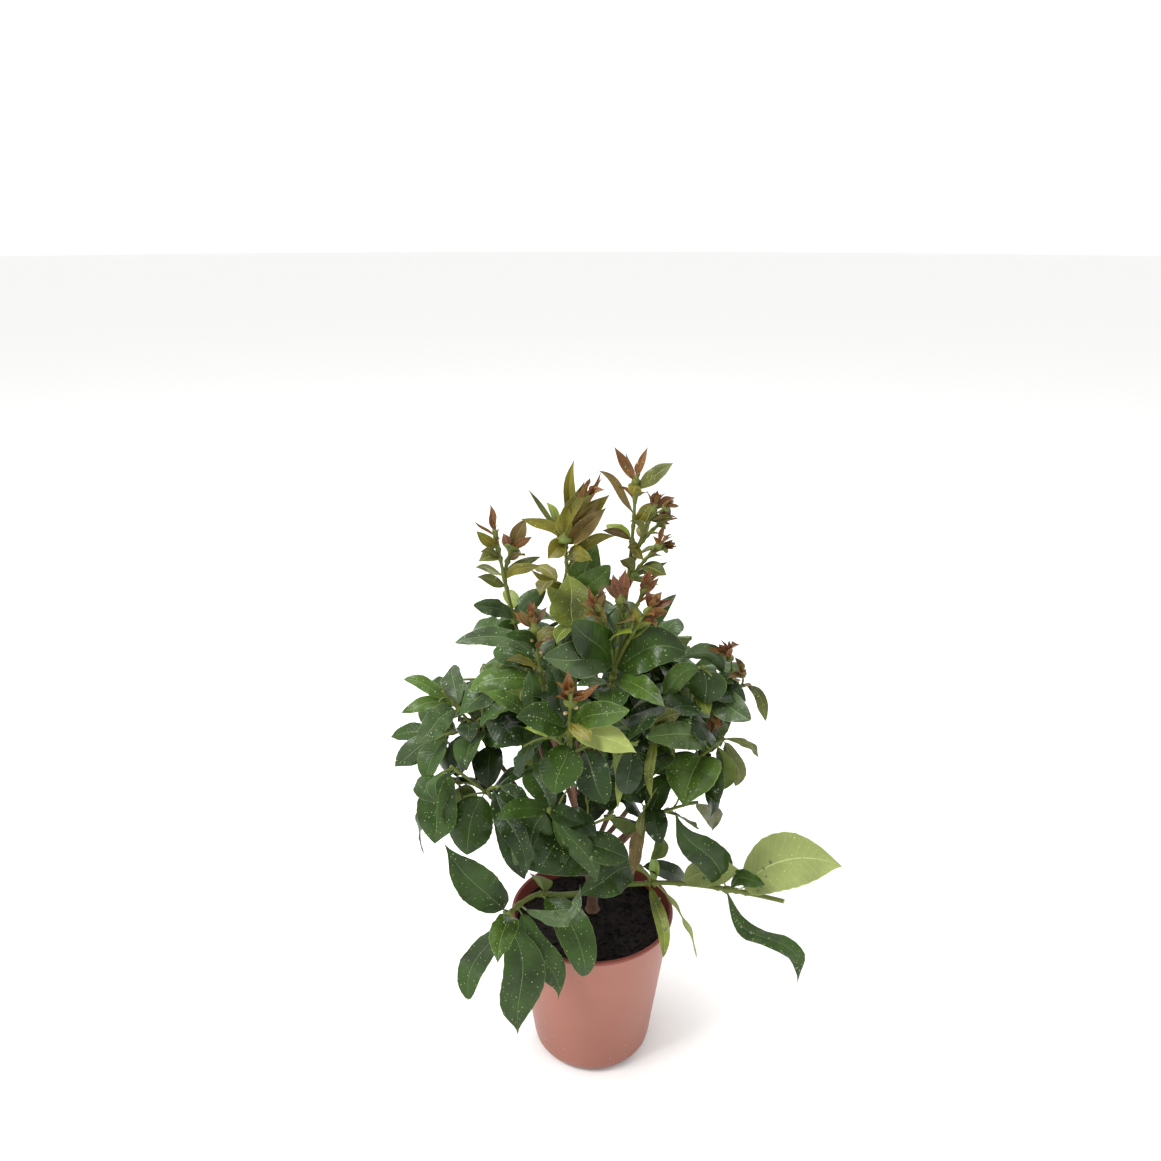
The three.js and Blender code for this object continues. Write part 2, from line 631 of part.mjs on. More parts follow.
// Sheets and edges that stand for a leaf in the tests for touching
function testBody(shape, margin) {
  const sheets = [-margin, 0, margin].map((lift) => {
    const grid = TEST_RINGS.map((station) => bladeRow(shape, station, lift, lift === 0 ? 0 : EDGE_ROOM));
    const triangles = [];
    for (let i = 0; i < grid.length - 1; i += 1) {
      for (let side = 0; side < 2; side += 1) {
        const [a, b, c, d] = [grid[i][side], grid[i][side + 1], grid[i + 1][side + 1], grid[i + 1][side]];
        triangles.push([a, b, c], [a, c, d]);
      }
    }
    return { grid, triangles };
  });
  const edges = [[shape.stations[0].point, shape.stations[1].point]];
  const { grid } = sheets[1];
  for (let i = 0; i < grid.length; i += 1) {
    if (i > 0) {
      for (let k = 0; k < 3; k += 1) edges.push([grid[i - 1][k], grid[i][k]]);
    }
    if (i > 0 && i < grid.length - 1) {
      edges.push([grid[i][0], grid[i][1]], [grid[i][1], grid[i][2]]);
    }
  }
  const middle = shape.stations[RIB_STEPS / 2].point;
  return { sheets, edges, middle, radius: shape.length * 0.56 };
}

function crosses([p, q], [a, b, c]) {
  const way = q.clone().sub(p);
  const ab = b.clone().sub(a);
  const ac = c.clone().sub(a);
  const h = way.clone().cross(ac);
  const det = ab.dot(h);
  if (Math.abs(det) < 1e-9) return false;
  const s = p.clone().sub(a);
  const u = s.dot(h) / det;
  if (u < 0 || u > 1) return false;
  const w = s.clone().cross(ab);
  const v = way.dot(w) / det;
  if (v < 0 || u + v > 1) return false;
  const t = ac.dot(w) / det;
  return t >= 0 && t <= 1;
}

function segmentGap([p1, q1], [p2, q2]) {
  const d1 = q1.clone().sub(p1);
  const d2 = q2.clone().sub(p2);
  const r = p1.clone().sub(p2);
  const a = d1.dot(d1) + 1e-12;
  const e = d2.dot(d2) + 1e-12;
  const f = d2.dot(r);
  const c = d1.dot(r);
  const b = d1.dot(d2);
  const denom = a * e - b * b;
  let s = denom > 1e-9 ? THREE.MathUtils.clamp((b * f - c * e) / denom, 0, 1) : 0;
  let t = (b * s + f) / e;
  if (t < 0) {
    t = 0;
    s = THREE.MathUtils.clamp(-c / a, 0, 1);
  } else if (t > 1) {
    t = 1;
    s = THREE.MathUtils.clamp((b - c) / a, 0, 1);
  }
  return p1.clone().addScaledVector(d1, s).distanceTo(p2.clone().addScaledVector(d2, t));
}

const limbs = [];
const placed = [];

// Leaves of one shoot may run together near their stalks, so only the outer part of the middle sheet counts
function outerPart({ sheets, edges }, isNeighbour) {
  if (isNeighbour) return [[sheets[1].triangles.slice(4)], edges.slice(4)];
  return [sheets.map(({ triangles }) => triangles), edges];
}

function cutsThrough(edges, sheets) {
  return sheets.some((sheet) => sheet.some((face) => edges.some((edge) => crosses(edge, face))));
}

function leafIsClear(shape, shoot) {
  const margin = shape.thickness / 2 + LEAF_ROOM;
  const body = testBody(shape, margin);
  const isLow = ({ x, y, z }) => z < GROUND_ROOM
    || (z < POT_HEIGHT + POT_ROOM && Math.hypot(x, y) < RIM_RADIUS + POT_ROOM);
  if (body.edges.some(([, end]) => isLow(end))) return null;
  for (const other of placed) {
    if (body.middle.distanceTo(other.body.middle) > body.radius + other.body.radius) continue;
    const isNeighbour = other.shoot === shoot;
    const [mySheets, myEdges] = outerPart(body, isNeighbour);
    const [theirSheets, theirEdges] = outerPart(other.body, isNeighbour);
    if (cutsThrough(theirEdges, mySheets) || cutsThrough(myEdges, theirSheets)) return null;
  }
  for (const other of limbs) {
    for (let i = 1; i < other.points.length; i += 1) {
      const segment = [other.points[i - 1], other.points[i]];
      if (body.middle.distanceTo(segment[0]) > body.radius + 30) continue;
      if (body.sheets[1].triangles.some((face) => crosses(segment, face))) return null;
      const gap = other.radii[i] + shape.thickness / 2 + LIMB_ROOM;
      if (other !== shoot && body.edges.some((edge, k) => (k > 0 || other.mass !== shoot.mass)
        && segmentGap(edge, segment) < gap)) return null;
    }
  }
  return body;
}

function placeLeaf(shoot, spec) {
  const shape = leafShape(spec);
  const body = leafIsClear(shape, shoot);
  if (!body) return false;
  placed.push({ shape, body, shoot, mass: shoot.mass, youth: spec.youth });
  return true;
}

function withinReach(mass, point) {
  const [a, b] = [mass.stem.points[0], mass.stem.points[mass.stem.points.length - 1]];
  const line = new THREE.Line3(a, b);
  return line.closestPointToPoint(point, true, V(0, 0, 0)).distanceTo(point) < mass.reach;
}

// Leaves in a spiral up a shoot: older ones spread and hang, young ones stand up
function growLeaves(mass, shoot, [, , , count, longest, youth, turn]) {
  const random = seeded(turn + 1);
  for (let i = 0; i < count; i += 1) {
    const share = (i + 0.5) / count;
    const at = FIRST_LEAF + (1 - FIRST_LEAF) * share;
    const young = Math.max(0, youth * (0.35 + 0.75 * share) - 0.08);
    const along = shoot.curve.getTangent(at);
    const side = V(-along.y, along.x, 0.001).normalize();
    const over = along.clone().cross(side);
    const length = longest * (1 - YOUNG_SHORTER * youth * share) * (LEAST_LENGTH + LENGTH_SPREAD * random());
    const tilt = TILT_SPREAD * (random() - 0.5);
    const droop = THREE.MathUtils.lerp(OLD_DROOP, YOUNG_DROOP, young) * (0.6 + 0.8 * random());
    const roll = ROLL_SPREAD * (random() - 0.5);
    for (const [swing, drop, scale] of TRIES) {
      const a = (turn + SPIRAL * i + swing) * RAD;
      const forward = THREE.MathUtils.lerp(OLD_FORWARD, YOUNG_FORWARD, young);
      const out = side.clone().multiplyScalar(Math.cos(a)).addScaledVector(over, Math.sin(a))
        .addScaledVector(along, forward).normalize();
      const flat = Math.hypot(out.x, out.y);
      const heading = Math.atan2(out.y, out.x) / RAD;
      const lean = Math.atan2(out.z, flat) / RAD - OLD_HANG * (1 - young) + tilt + drop;
      const base = shoot.curve.getPoint(at);
      const spec = { base, heading, lean, length: length * scale, droop, roll, twist: 0, youth: young };
      const tip = leafShape(spec).stations[RIB_STEPS].point;
      if (withinReach(mass, tip) && placeLeaf(shoot, spec)) break;
    }
  }
}

const group = new THREE.Group();
group.add(pot());
group.add(soil());

// Trunk with its root flare, cut flat just clear of the compost
const footHeight = POT_HEIGHT - SOIL_BELOW_RIM + CLEAR;
const trunk = limb('trunk', V(...TRUNK_FOOT, footHeight - BASE_CUT), V(...TRUNK_BEND), V(...TRUNK_TOP),
  TRUNK_RADIUS, TRUNK_TOP_RADIUS, TRUNK_STEP);
trunk.radii = trunk.radii.map((radius, i) => radius * (1 + (FLARE - 1) * Math.exp(-i * FLARE_FADE)));
limbs.push(trunk);
const aboveSoil = new THREE.BoxGeometry(POT_HEIGHT, POT_HEIGHT, POT_HEIGHT)
  .translate(...TRUNK_FOOT, footHeight + POT_HEIGHT / 2);
const trunkSolid = toSolid(limbGeometry(trunk, TRUNK_SIDES)).intersect(toSolid(aboveSoil));
group.add(toMesh('trunk', trunkSolid, MATERIALS.bark));

const boughs = new Map([['trunk', trunk]]);
for (const { name, from, at, tip, sag } of BOUGHS) {
  const parent = boughs.get(from);
  const start = parent.curve.getPoint(Math.min(at, 0.985));
  const end = V(...tip);
  const control = start.clone().lerp(end, 0.5).add(V(0, 0, -sag));
  const bough = limb(name, start, control, end, BOUGH_RADIUS, BOUGH_TIP_RADIUS, BOUGH_STEP);
  boughs.set(name, bough);
  limbs.push(bough);
}

// Each bough is cut clear of every limb before it, and what is left beyond the cut is kept
[...boughs.values()].forEach((bough, index, all) => {
  if (bough === trunk) return;
  let solid = toSolid(limbGeometry(bough, BOUGH_SIDES));
  for (const other of all.slice(0, index)) {
    const sides = other === trunk ? TRUNK_SIDES : BOUGH_SIDES;
    solid = solid.subtract(toSolid(limbGeometry(other, sides, 2 * CLEAR)));
  }
  const [largest] = solid.decompose().sort((a, b) => b.volume() - a.volume());
  group.add(toMesh(bough.name, largest, MATERIALS.bark));
});

// Stems and side shoots of every mass, then the leaves
for (const mass of MASSES) {
  const bough = boughs.get(mass.bough);
  const end = bough.points[bough.points.length - 1];
  const ahead = bough.curve.getTangent(1);
  mass.limbs = [];
  for (const [from, at, tip] of mass.shoots) {
    const isStem = from < 0;
    const parent = isStem ? bough : mass.limbs[from];
    const start = isStem ? end.clone().addScaledVector(ahead, CLEAR) : parent.curve.getPoint(at);
    const goal = V(...tip);
    const span = start.distanceTo(goal);
    const way = isStem ? ahead.clone() : parent.curve.getTangent(at)
      .add(goal.clone().sub(start).normalize()).normalize();
    const control = start.clone().addScaledVector(way, TWIG_BEND * span);
    const shoot = limb(mass.name, start, control, goal, isStem ? BOUGH_TIP_RADIUS : TWIG_RADIUS,
      TWIG_TIP_RADIUS, TWIG_STEP);
    shoot.mass = mass;
    mass.limbs.push(shoot);
    limbs.push(shoot);
  }
  [mass.stem] = mass.limbs;
}
for (const mass of MASSES) {
  for (const [shoot, at, tip, droop, roll, twist, youth] of mass.leaves) {
    const on = mass.limbs[shoot];
    const base = on.curve.getPoint(at);
    placeLeaf(on, { base, ...aim(base, V(...tip), droop), droop, roll, twist, youth });
  }
}
for (const mass of MASSES) {
  mass.shoots.forEach((row, i) => growLeaves(mass, mass.limbs[i], row));
}
for (const mass of MASSES) {
  let solid = toSolid(limbGeometry(mass.stem, TWIG_SIDES));
  for (const shoot of mass.limbs.slice(1)) solid = solid.add(toSolid(limbGeometry(shoot, TWIG_SIDES)));
  for (const leaf of placed.filter((item) => item.mass === mass)) {
    solid = solid.add(toSolid(leafGeometry(leaf.shape)));
  }
  group.add(toMesh(mass.name, solid, MATERIALS.leaf));
}

export default group;
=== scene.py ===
# A young lemon tree in a nursery pot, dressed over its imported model. Blender units are metres. The pot and
# the growth of the tree are worked out in millimetres from the pot's underside, with +Z up and the front
# towards -Y.
import math

import bpy
import numpy as np
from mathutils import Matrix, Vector, noise


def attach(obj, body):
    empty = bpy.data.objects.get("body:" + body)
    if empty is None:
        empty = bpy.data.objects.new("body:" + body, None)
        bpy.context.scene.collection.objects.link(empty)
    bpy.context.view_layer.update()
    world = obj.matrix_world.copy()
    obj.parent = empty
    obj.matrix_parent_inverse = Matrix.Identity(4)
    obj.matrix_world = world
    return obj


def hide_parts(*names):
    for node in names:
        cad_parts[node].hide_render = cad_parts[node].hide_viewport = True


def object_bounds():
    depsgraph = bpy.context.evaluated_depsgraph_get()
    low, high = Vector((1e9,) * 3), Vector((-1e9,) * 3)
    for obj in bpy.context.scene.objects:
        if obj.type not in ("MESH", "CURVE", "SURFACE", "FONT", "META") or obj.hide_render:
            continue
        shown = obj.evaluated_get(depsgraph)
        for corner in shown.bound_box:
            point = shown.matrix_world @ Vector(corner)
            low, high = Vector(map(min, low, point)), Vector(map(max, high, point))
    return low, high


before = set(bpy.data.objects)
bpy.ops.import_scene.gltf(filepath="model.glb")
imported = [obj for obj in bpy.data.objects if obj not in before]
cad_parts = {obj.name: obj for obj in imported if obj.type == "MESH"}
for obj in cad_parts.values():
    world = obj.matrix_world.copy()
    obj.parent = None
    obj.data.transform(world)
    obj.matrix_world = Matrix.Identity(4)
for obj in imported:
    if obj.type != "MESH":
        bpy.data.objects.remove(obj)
cad_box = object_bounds()

# Camera: stands about 70 cm in front of the pot's axis and as high above the floor, and looks down by twenty
# degrees. Its place comes from the shapes of the pot's rim and foot in the photograph.
CAMERA_AT = (0.0, -0.7181, 0.6959)
CAMERA_TURN = (70.18, 0.0, 0.81)
FOCAL_LENGTH = 30.86

lens = bpy.data.cameras.new("camera")
lens.lens = FOCAL_LENGTH
lens.clip_start = 0.01
camera = bpy.data.objects.new("camera", lens)
camera.location = CAMERA_AT
camera.rotation_euler = [math.radians(turn) for turn in CAMERA_TURN]
bpy.context.scene.collection.objects.link(camera)
bpy.context.scene.camera = camera

# Studio: a white room with a large soft light from the upper left, a weak one from the right and one above
# and behind the tree.
SKY_STRENGTH = 1.0
SOFT_LIGHTS = [
    # name, where it stands, width, power in watts
    ("key_light", (-1.3, -0.9, 2.1), 0.8, 43),
    ("side_light", (1.7, 0.3, 1.2), 0.5, 3),
    ("top_light", (0.0, 0.7, 2.4), 0.9, 26),
]
TREE_MIDDLE = Vector((0, 0, 0.3))

world = bpy.data.worlds.new("room")
world.use_nodes = True
world.node_tree.nodes["Background"].inputs["Color"].default_value = (1, 1, 1, 1)
world.node_tree.nodes["Background"].inputs["Strength"].default_value = SKY_STRENGTH
bpy.context.scene.world = world
bpy.context.scene.view_settings.view_transform = "Standard"
for name, place, width, power in SOFT_LIGHTS:
    light = bpy.data.lights.new(name, "AREA")
    light.shape = "DISK"
    light.size = width
    light.energy = power
    lamp = bpy.data.objects.new(name, light)
    lamp.location = place
    lamp.rotation_euler = (TREE_MIDDLE - lamp.location).to_track_quat("-Z", "Y").to_euler()
    bpy.context.scene.collection.objects.link(lamp)

# Floor: a wide plain sheet of pale board, matt all over.
FLOOR_RADIUS = 25.0
FLOOR_SIDES = 96
FLOOR_DROP = 0.0005
FLOOR_WHITE = (249, 249, 248)
FLOOR_SHADE = (246, 246, 245)
FLOOR_GRAIN = 40.0


def paint(red, green, blue):
    """A colour as seen on a screen, 0 to 255, in the linear numbers that a shader takes"""
    shares = [part / 255 for part in (red, green, blue)]
    return [s / 12.92 if s <= 0.04045 else ((s + 0.055) / 1.055) ** 2.4 for s in shares] + [1.0]


class Value:
    """A number that varies over a surface; sums on it add Math nodes to its finish"""

    def __init__(self, finish, socket):
        self.finish = finish
        self.socket = socket

    def math(self, operation, first, second):
        return self.finish.node("Math", {"operation": operation}, {0: first, 1: second})

    def __add__(self, other):
        return self.math("ADD", self, other)

    def __radd__(self, other):
        return self.math("ADD", other, self)

    def __sub__(self, other):
        return self.math("SUBTRACT", self, other)

    def __rsub__(self, other):
        return self.math("SUBTRACT", other, self)

    def __mul__(self, other):
        return self.math("MULTIPLY", self, other)

    def __rmul__(self, other):
        return self.math("MULTIPLY", other, self)

    def __pow__(self, other):
        return self.math("POWER", self, other)

    def __lt__(self, other):
        return self.math("LESS_THAN", self, other)

    def __abs__(self):
        return self.finish.node("Math", {"operation": "ABSOLUTE"}, {0: self})


class Finish:
    """One material; sockets that are the same all over are set at once, and node() adds any other node"""

    def __init__(self, name, plain):
        self.material = bpy.data.materials.new(name)
        self.material.use_nodes = True
        self.tree = self.material.node_tree
        self.sockets = self.tree.nodes["Principled BSDF"].inputs
        for socket, value in plain.items():
            self.sockets[socket].default_value = value

    def feed(self, socket, value):
        if isinstance(value, Value):
            self.tree.links.new(value.socket, socket)
        else:
            socket.default_value = value

    def node(self, kind, settings=None, inputs=None, output=0):
        made = self.tree.nodes.new("ShaderNode" + kind)
        for name, value in (settings or {}).items():
            setattr(made, name, value)
        for name, value in (inputs or {}).items():
            self.feed(made.inputs[name], value)
        return Value(self, made.outputs[output])

    def place(self):
        """Where a point lies on the tree, in metres"""
        return self.node("TexCoord", output="Object")

    def grain(self, scale, detail=3.0, roughness=0.55):
        """Soft noise between 0 and 1"""
        sizes = {"Vector": self.place(), "Scale": scale, "Detail": detail, "Roughness": roughness}
        return self.node("TexNoise", inputs=sizes)

    def blend(self, share, first, second):
        """Two colours mixed by a share that varies"""
        return self.node("Mix", {"data_type": "RGBA"}, {0: share, 6: first, 7: second}, output=2)

    def relief(self, height, depth):
        """Makes the surface rise and fall by up to `depth` metres"""
        bump = self.node("Bump", inputs={"Strength": 1.0, "Distance": depth, "Height": height})
        self.feed(self.sockets["Normal"], bump)


def add_piece(name, points, faces, finishes, slots=None, unit=0.001):
    """A smooth mesh object from points in millimetres; slots give the number of each face's finish"""
    mesh = bpy.data.meshes.new(name)
    mesh.from_pydata((np.asarray(points, float) * unit).tolist(), [], faces)
    for finish in finishes:
        mesh.materials.append(finish.material)
    if slots is not None:
        mesh.polygons.foreach_set("material_index", np.asarray(slots, np.int32))
    mesh.shade_smooth()
    piece = bpy.data.objects.new(name, mesh)
    bpy.context.scene.collection.objects.link(piece)
    return piece


board = Finish("pale_board", {"Roughness": 0.9, "Specular IOR Level": 0.1})
board_tone = board.blend(board.grain(FLOOR_GRAIN), paint(*FLOOR_WHITE), paint(*FLOOR_SHADE))
board.feed(board.sockets["Base Color"], board_tone)
turns = np.linspace(0, 2 * math.pi, FLOOR_SIDES, endpoint=False)
rim = np.stack([np.cos(turns), np.sin(turns), np.zeros(FLOOR_SIDES)], 1) * FLOOR_RADIUS
floor = add_piece("floor", rim, [list(range(FLOOR_SIDES))], [board], unit=1.0)
floor.location.z = -FLOOR_DROP

# Pot: a thin 14 cm nursery pot, moulded in satin terracotta-coloured plastic, with a rounded foot, a small
# rolled lip and six drain slots. The inside and the lip are painted a darker brown than the outside, as
# painted shade inside the pot and along the lip, and the outside is painted darker towards its foot, as
# painted shade.
POT_HEIGHT = 135
RIM_RADIUS = 70
LIP_HEIGHT = 3
LIP_DEPTH = 1.5
LIP_ROUND = 0.75
BASE_RADIUS = 50
BASE_ROUNDING = 12
POT_WALL = 1.4
POT_SIDES = 192
WALL_RINGS = 24
CORNER_STEPS = 6
DRAIN_HOLES = 6
DRAIN_WIDTH = 12
DRAIN_HEIGHT = 4
DRAIN_SILL = 2
DRAIN_TURN = 9
TERRACOTTA = (156, 98, 82)
TERRACOTTA_FLOW_AND_SHADE = (137, 79, 62)
LIP_SHADE_BROWN = (124, 60, 48)
LIP_SHADE_DARK = (110, 46, 34)
MOULD_GRAIN = 900.0
MOULD_RELIEF = 0.00012
FLOW_GRAIN = 18.0
PAINTED_SHADE_FADE = 5.0
POT_SHARP_EDGE = math.radians(50)

body_top = RIM_RADIUS - LIP_DEPTH
pot_slope = (body_top - BASE_RADIUS) / POT_HEIGHT


def turned(profile, sides, wave=None):
    """Points and faces of a profile turned about Z; its first and last points lie on the axis"""
    around = np.linspace(0, 2 * math.pi, sides, endpoint=False)
    radius, height = np.array(profile[1:-1]).T
    rings = np.stack([
        radius[:, None] * np.cos(around),
        radius[:, None] * np.sin(around),
        np.repeat(height[:, None], sides, 1),
    ], 2)
    if wave:
        rings = wave(rings)
    points = [[0, 0, profile[0][1]], *rings.reshape(-1, 3).tolist(), [0, 0, profile[-1][1]]]
    faces = []
    for i in range(sides):
        faces.append([0, 1 + (i + 1) % sides, 1 + i])
    for ring in range(len(radius) - 1):
        here = 1 + ring * sides
        for i in range(sides):
            j = (i + 1) % sides
            faces.append([here + i, here + j, here + sides + j, here + sides + i])
    last = len(points) - 1
    for i in range(sides):
        faces.append([last - sides + i, last - sides + (i + 1) % sides, last])
    return points, faces


def corner(centre, radius, start, end, steps=CORNER_STEPS):
    """Points of an arc in the profile, between two angles in degrees"""
    sweep = np.radians(np.linspace(start, end, steps + 1))
    return [(centre[0] + radius * math.cos(a), centre[1] + radius * math.sin(a)) for a in sweep]


def wall(start, end, rings=WALL_RINGS):
    """Evenly spaced points between two, without the ends"""
    shares = np.linspace(0, 1, rings + 1)[1:-1]
    return [(start[0] + (end[0] - start[0]) * s, start[1] + (end[1] - start[1]) * s) for s in shares]


lip_foot = POT_HEIGHT - LIP_HEIGHT
foot_outside = (BASE_RADIUS + pot_slope * BASE_ROUNDING, BASE_ROUNDING)
foot_inside = (foot_outside[0] - POT_WALL, BASE_ROUNDING + POT_WALL / 2)
foot_middle = foot_outside[0] - BASE_ROUNDING * math.hypot(1, pot_slope)
outside = [
    (0, 0),
    (foot_middle, 0),
    *corner((foot_middle, BASE_ROUNDING), BASE_ROUNDING, -90, -math.degrees(math.atan(pot_slope)))[1:-1],
    foot_outside,
    *wall(foot_outside, (body_top, lip_foot)),
    (body_top, lip_foot),
]
lip = [
    *corner((RIM_RADIUS - LIP_ROUND, lip_foot + LIP_ROUND), LIP_ROUND, -90, 0, 3),
    *corner((RIM_RADIUS - LIP_ROUND, POT_HEIGHT - LIP_ROUND), LIP_ROUND, 0, 90, 3),
    *corner((body_top - POT_WALL + LIP_ROUND, POT_HEIGHT - LIP_ROUND), LIP_ROUND, 90, 180, 3),
]
inside = [
    *wall((body_top - POT_WALL, POT_HEIGHT - LIP_ROUND), foot_inside),
    foot_inside,
    (BASE_RADIUS - BASE_ROUNDING, POT_WALL),
    (0, POT_WALL),
]
points, faces = turned(outside + lip + inside, POT_SIDES)

satin = {"Specular IOR Level": 0.45, "Coat Weight": 0.08, "Coat Roughness": 0.3}
plastic = Finish("terracotta_plastic", satin)
flow = plastic.grain(FLOW_GRAIN, 2.0)
speck = plastic.grain(MOULD_GRAIN, 2.0)
# Painted shade: the outside is painted darker towards its foot, where less light falls, mixed with random
# darker flow patches in the plastic.
height = plastic.node("SeparateXYZ", inputs={"Vector": plastic.place()}, output="Z")
flow_and_painted_shade = 0.5 + flow * 0.5 - height * PAINTED_SHADE_FADE
plastic_tone = plastic.blend(flow_and_painted_shade, paint(*TERRACOTTA), paint(*TERRACOTTA_FLOW_AND_SHADE))
plastic.feed(plastic.sockets["Base Color"], plastic_tone)
plastic.feed(plastic.sockets["Roughness"], 0.36 + flow * 0.14)
plastic.relief(speck, MOULD_RELIEF)
# Painted shade: a darker brown plastic for the lip and the inside wall, which stand in shade.
shaded_lip_plastic = Finish("shaded_lip_plastic", {"Specular IOR Level": 0.4})
lip_flow = shaded_lip_plastic.grain(FLOW_GRAIN * 2, 2.0)
lip_tone = shaded_lip_plastic.blend(lip_flow, paint(*LIP_SHADE_BROWN), paint(*LIP_SHADE_DARK))
shaded_lip_plastic.feed(shaded_lip_plastic.sockets["Base Color"], lip_tone)
shaded_lip_plastic.feed(shaded_lip_plastic.sockets["Roughness"], 0.46 + lip_flow * 0.1)

# The lip and the inside wear the darker plastic, which is painted shade
bands = [0, *range(1, len(outside + lip + inside) - 2), len(outside + lip + inside)]
painted_shade_band = [band >= len(outside) - 1 for band in bands for _ in range(POT_SIDES)]
pot = add_piece("pot_shell", points, faces, [plastic, shaded_lip_plastic], painted_shade_band)
for i in range(DRAIN_HOLES):
    turn = math.radians(DRAIN_TURN + i * 360 / DRAIN_HOLES)
    slot_points = [
        (BASE_RADIUS - BASE_ROUNDING * x, DRAIN_WIDTH / 2 * y, DRAIN_SILL + DRAIN_HEIGHT * z)
        for x in (1, -0.5) for y in (-1, 1) for z in (0, 1)
    ]
    slot_faces = [[0, 1, 3, 2], [4, 6, 7, 5], [0, 4, 5, 1], [2, 3, 7, 6], [0, 2, 6, 4], [1, 5, 7, 3]]
    cutter = add_piece("drain_cutter", slot_points, slot_faces, [shaded_lip_plastic])
    cutter.rotation_euler.z = turn
    cut = pot.modifiers.new("drain", "BOOLEAN")
    cut.operation = "DIFFERENCE"
    cut.object = cutter
    bpy.context.view_layer.update()
    cut_mesh = bpy.data.meshes.new_from_object(pot.evaluated_get(bpy.context.evaluated_depsgraph_get()))
    pot.modifiers.clear()
    pot.data = cut_mesh
    bpy.data.objects.remove(cutter)
pot.data.set_sharp_from_angle(angle=POT_SHARP_EDGE)
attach(pot, "root")
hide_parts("pot")

# Compost: moist black peat that fills the pot to a finger's breadth below the rim, lumpy on top.
SOIL_BELOW_RIM = 12
SOIL_TOP = POT_HEIGHT - SOIL_BELOW_RIM
SOIL_GAP = 0.3
SOIL_SIDES = 128
SOIL_RINGS = 44
LUMP_HEIGHT = 3.2
CRUMBS = 700
CRUMB_SIZES = (0.7, 2.4)
CRUMBS_FROM_WALL = 3
PEAT_RELIEF = 0.0012
PEAT_BLACK = (14, 9, 8)
PEAT_BROWN = (36, 23, 18)


def compost_height(x, y):
    """How far the top of the compost rises above its level, at most a few millimetres"""
    broad = noise.noise(Vector((x, y, 3)) * 0.045)
    fine = noise.fractal(Vector((x, y, 9)) * 0.16, 0.8, 2.1, 4)
    return LUMP_HEIGHT * (0.5 * broad + 0.45 * fine)


def rough_top(rings):
    for ring in rings[:SOIL_RINGS - 1]:
        for point in ring:
            point[2] += compost_height(point[0], point[1])
    return rings


soil_wall = BASE_RADIUS - POT_WALL - SOIL_GAP
soil_rim = (soil_wall + pot_slope * SOIL_TOP, SOIL_TOP)
soil_foot = (soil_wall + pot_slope * BASE_ROUNDING, BASE_ROUNDING + POT_WALL)
bottom = POT_WALL + SOIL_GAP
soil_profile = [
    (0, SOIL_TOP),
    *wall((0, SOIL_TOP), soil_rim, SOIL_RINGS),
    soil_rim,
    *wall(soil_rim, soil_foot, 8),
    soil_foot,
    (BASE_RADIUS - BASE_ROUNDING, bottom),
    (0, bottom),
]
points, faces = turned(soil_profile, SOIL_SIDES, rough_top)
faces = [face[::-1] for face in faces]
peat = Finish("peat", {"Specular IOR Level": 0.25})
damp = peat.grain(160.0, 5.0, 0.7)
peat.feed(peat.sockets["Base Color"], peat.blend(damp ** 2, paint(*PEAT_BLACK), paint(*PEAT_BROWN)))
peat.feed(peat.sockets["Roughness"], 0.95 - damp * 0.25)
peat.relief(peat.grain(700.0, 5.0, 0.7), PEAT_RELIEF)
soil = add_piece("compost", points, faces, [peat])
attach(soil, "root")
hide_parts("soil")


def ball(rings=3, sides=6):
    """Points and faces of a small round body of radius 1"""
    latitudes = np.linspace(-math.pi / 2, math.pi / 2, rings + 2)
    return turned([(0, -1), *[(math.cos(a), math.sin(a)) for a in latitudes[1:-1]], (0, 1)], sides)


def joined(bodies):
    """Several bodies as one: all their points, and their faces with the points counted on"""
    all_points, all_faces, start = [], [], 0
    for points, faces in bodies:
        all_points.append(points)
        all_faces += [[k + start for k in face] for face in faces]
        start += len(points)
    return np.concatenate(all_points), all_faces


def scatter(shape, places):
    """Copies of one shape joined into one; each place is a centre and three axes"""
    points, faces = shape
    return joined([(centre + np.array(points) @ np.array(axes), faces) for centre, axes in places])


random = np.random.default_rng(11)
crumbs = []
for _ in range(CRUMBS):
    far = (soil_rim[0] - CRUMBS_FROM_WALL) * math.sqrt(random.random())
    turn = random.random() * 2 * math.pi
    x, y = far * math.cos(turn), far * math.sin(turn)
    size = CRUMB_SIZES[0] + (CRUMB_SIZES[1] - CRUMB_SIZES[0]) * random.random() ** 3
    axes = size * (np.eye(3) * random.uniform(0.6, 1.2, 3) + random.uniform(-0.35, 0.35, (3, 3)))
    crumbs.append((np.array([x, y, SOIL_TOP + compost_height(x, y) + 0.2 * size]), axes))
points, faces = scatter(ball(), crumbs)
crumb_piece = add_piece("compost_crumbs", points, faces, [peat])
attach(crumb_piece, "root")

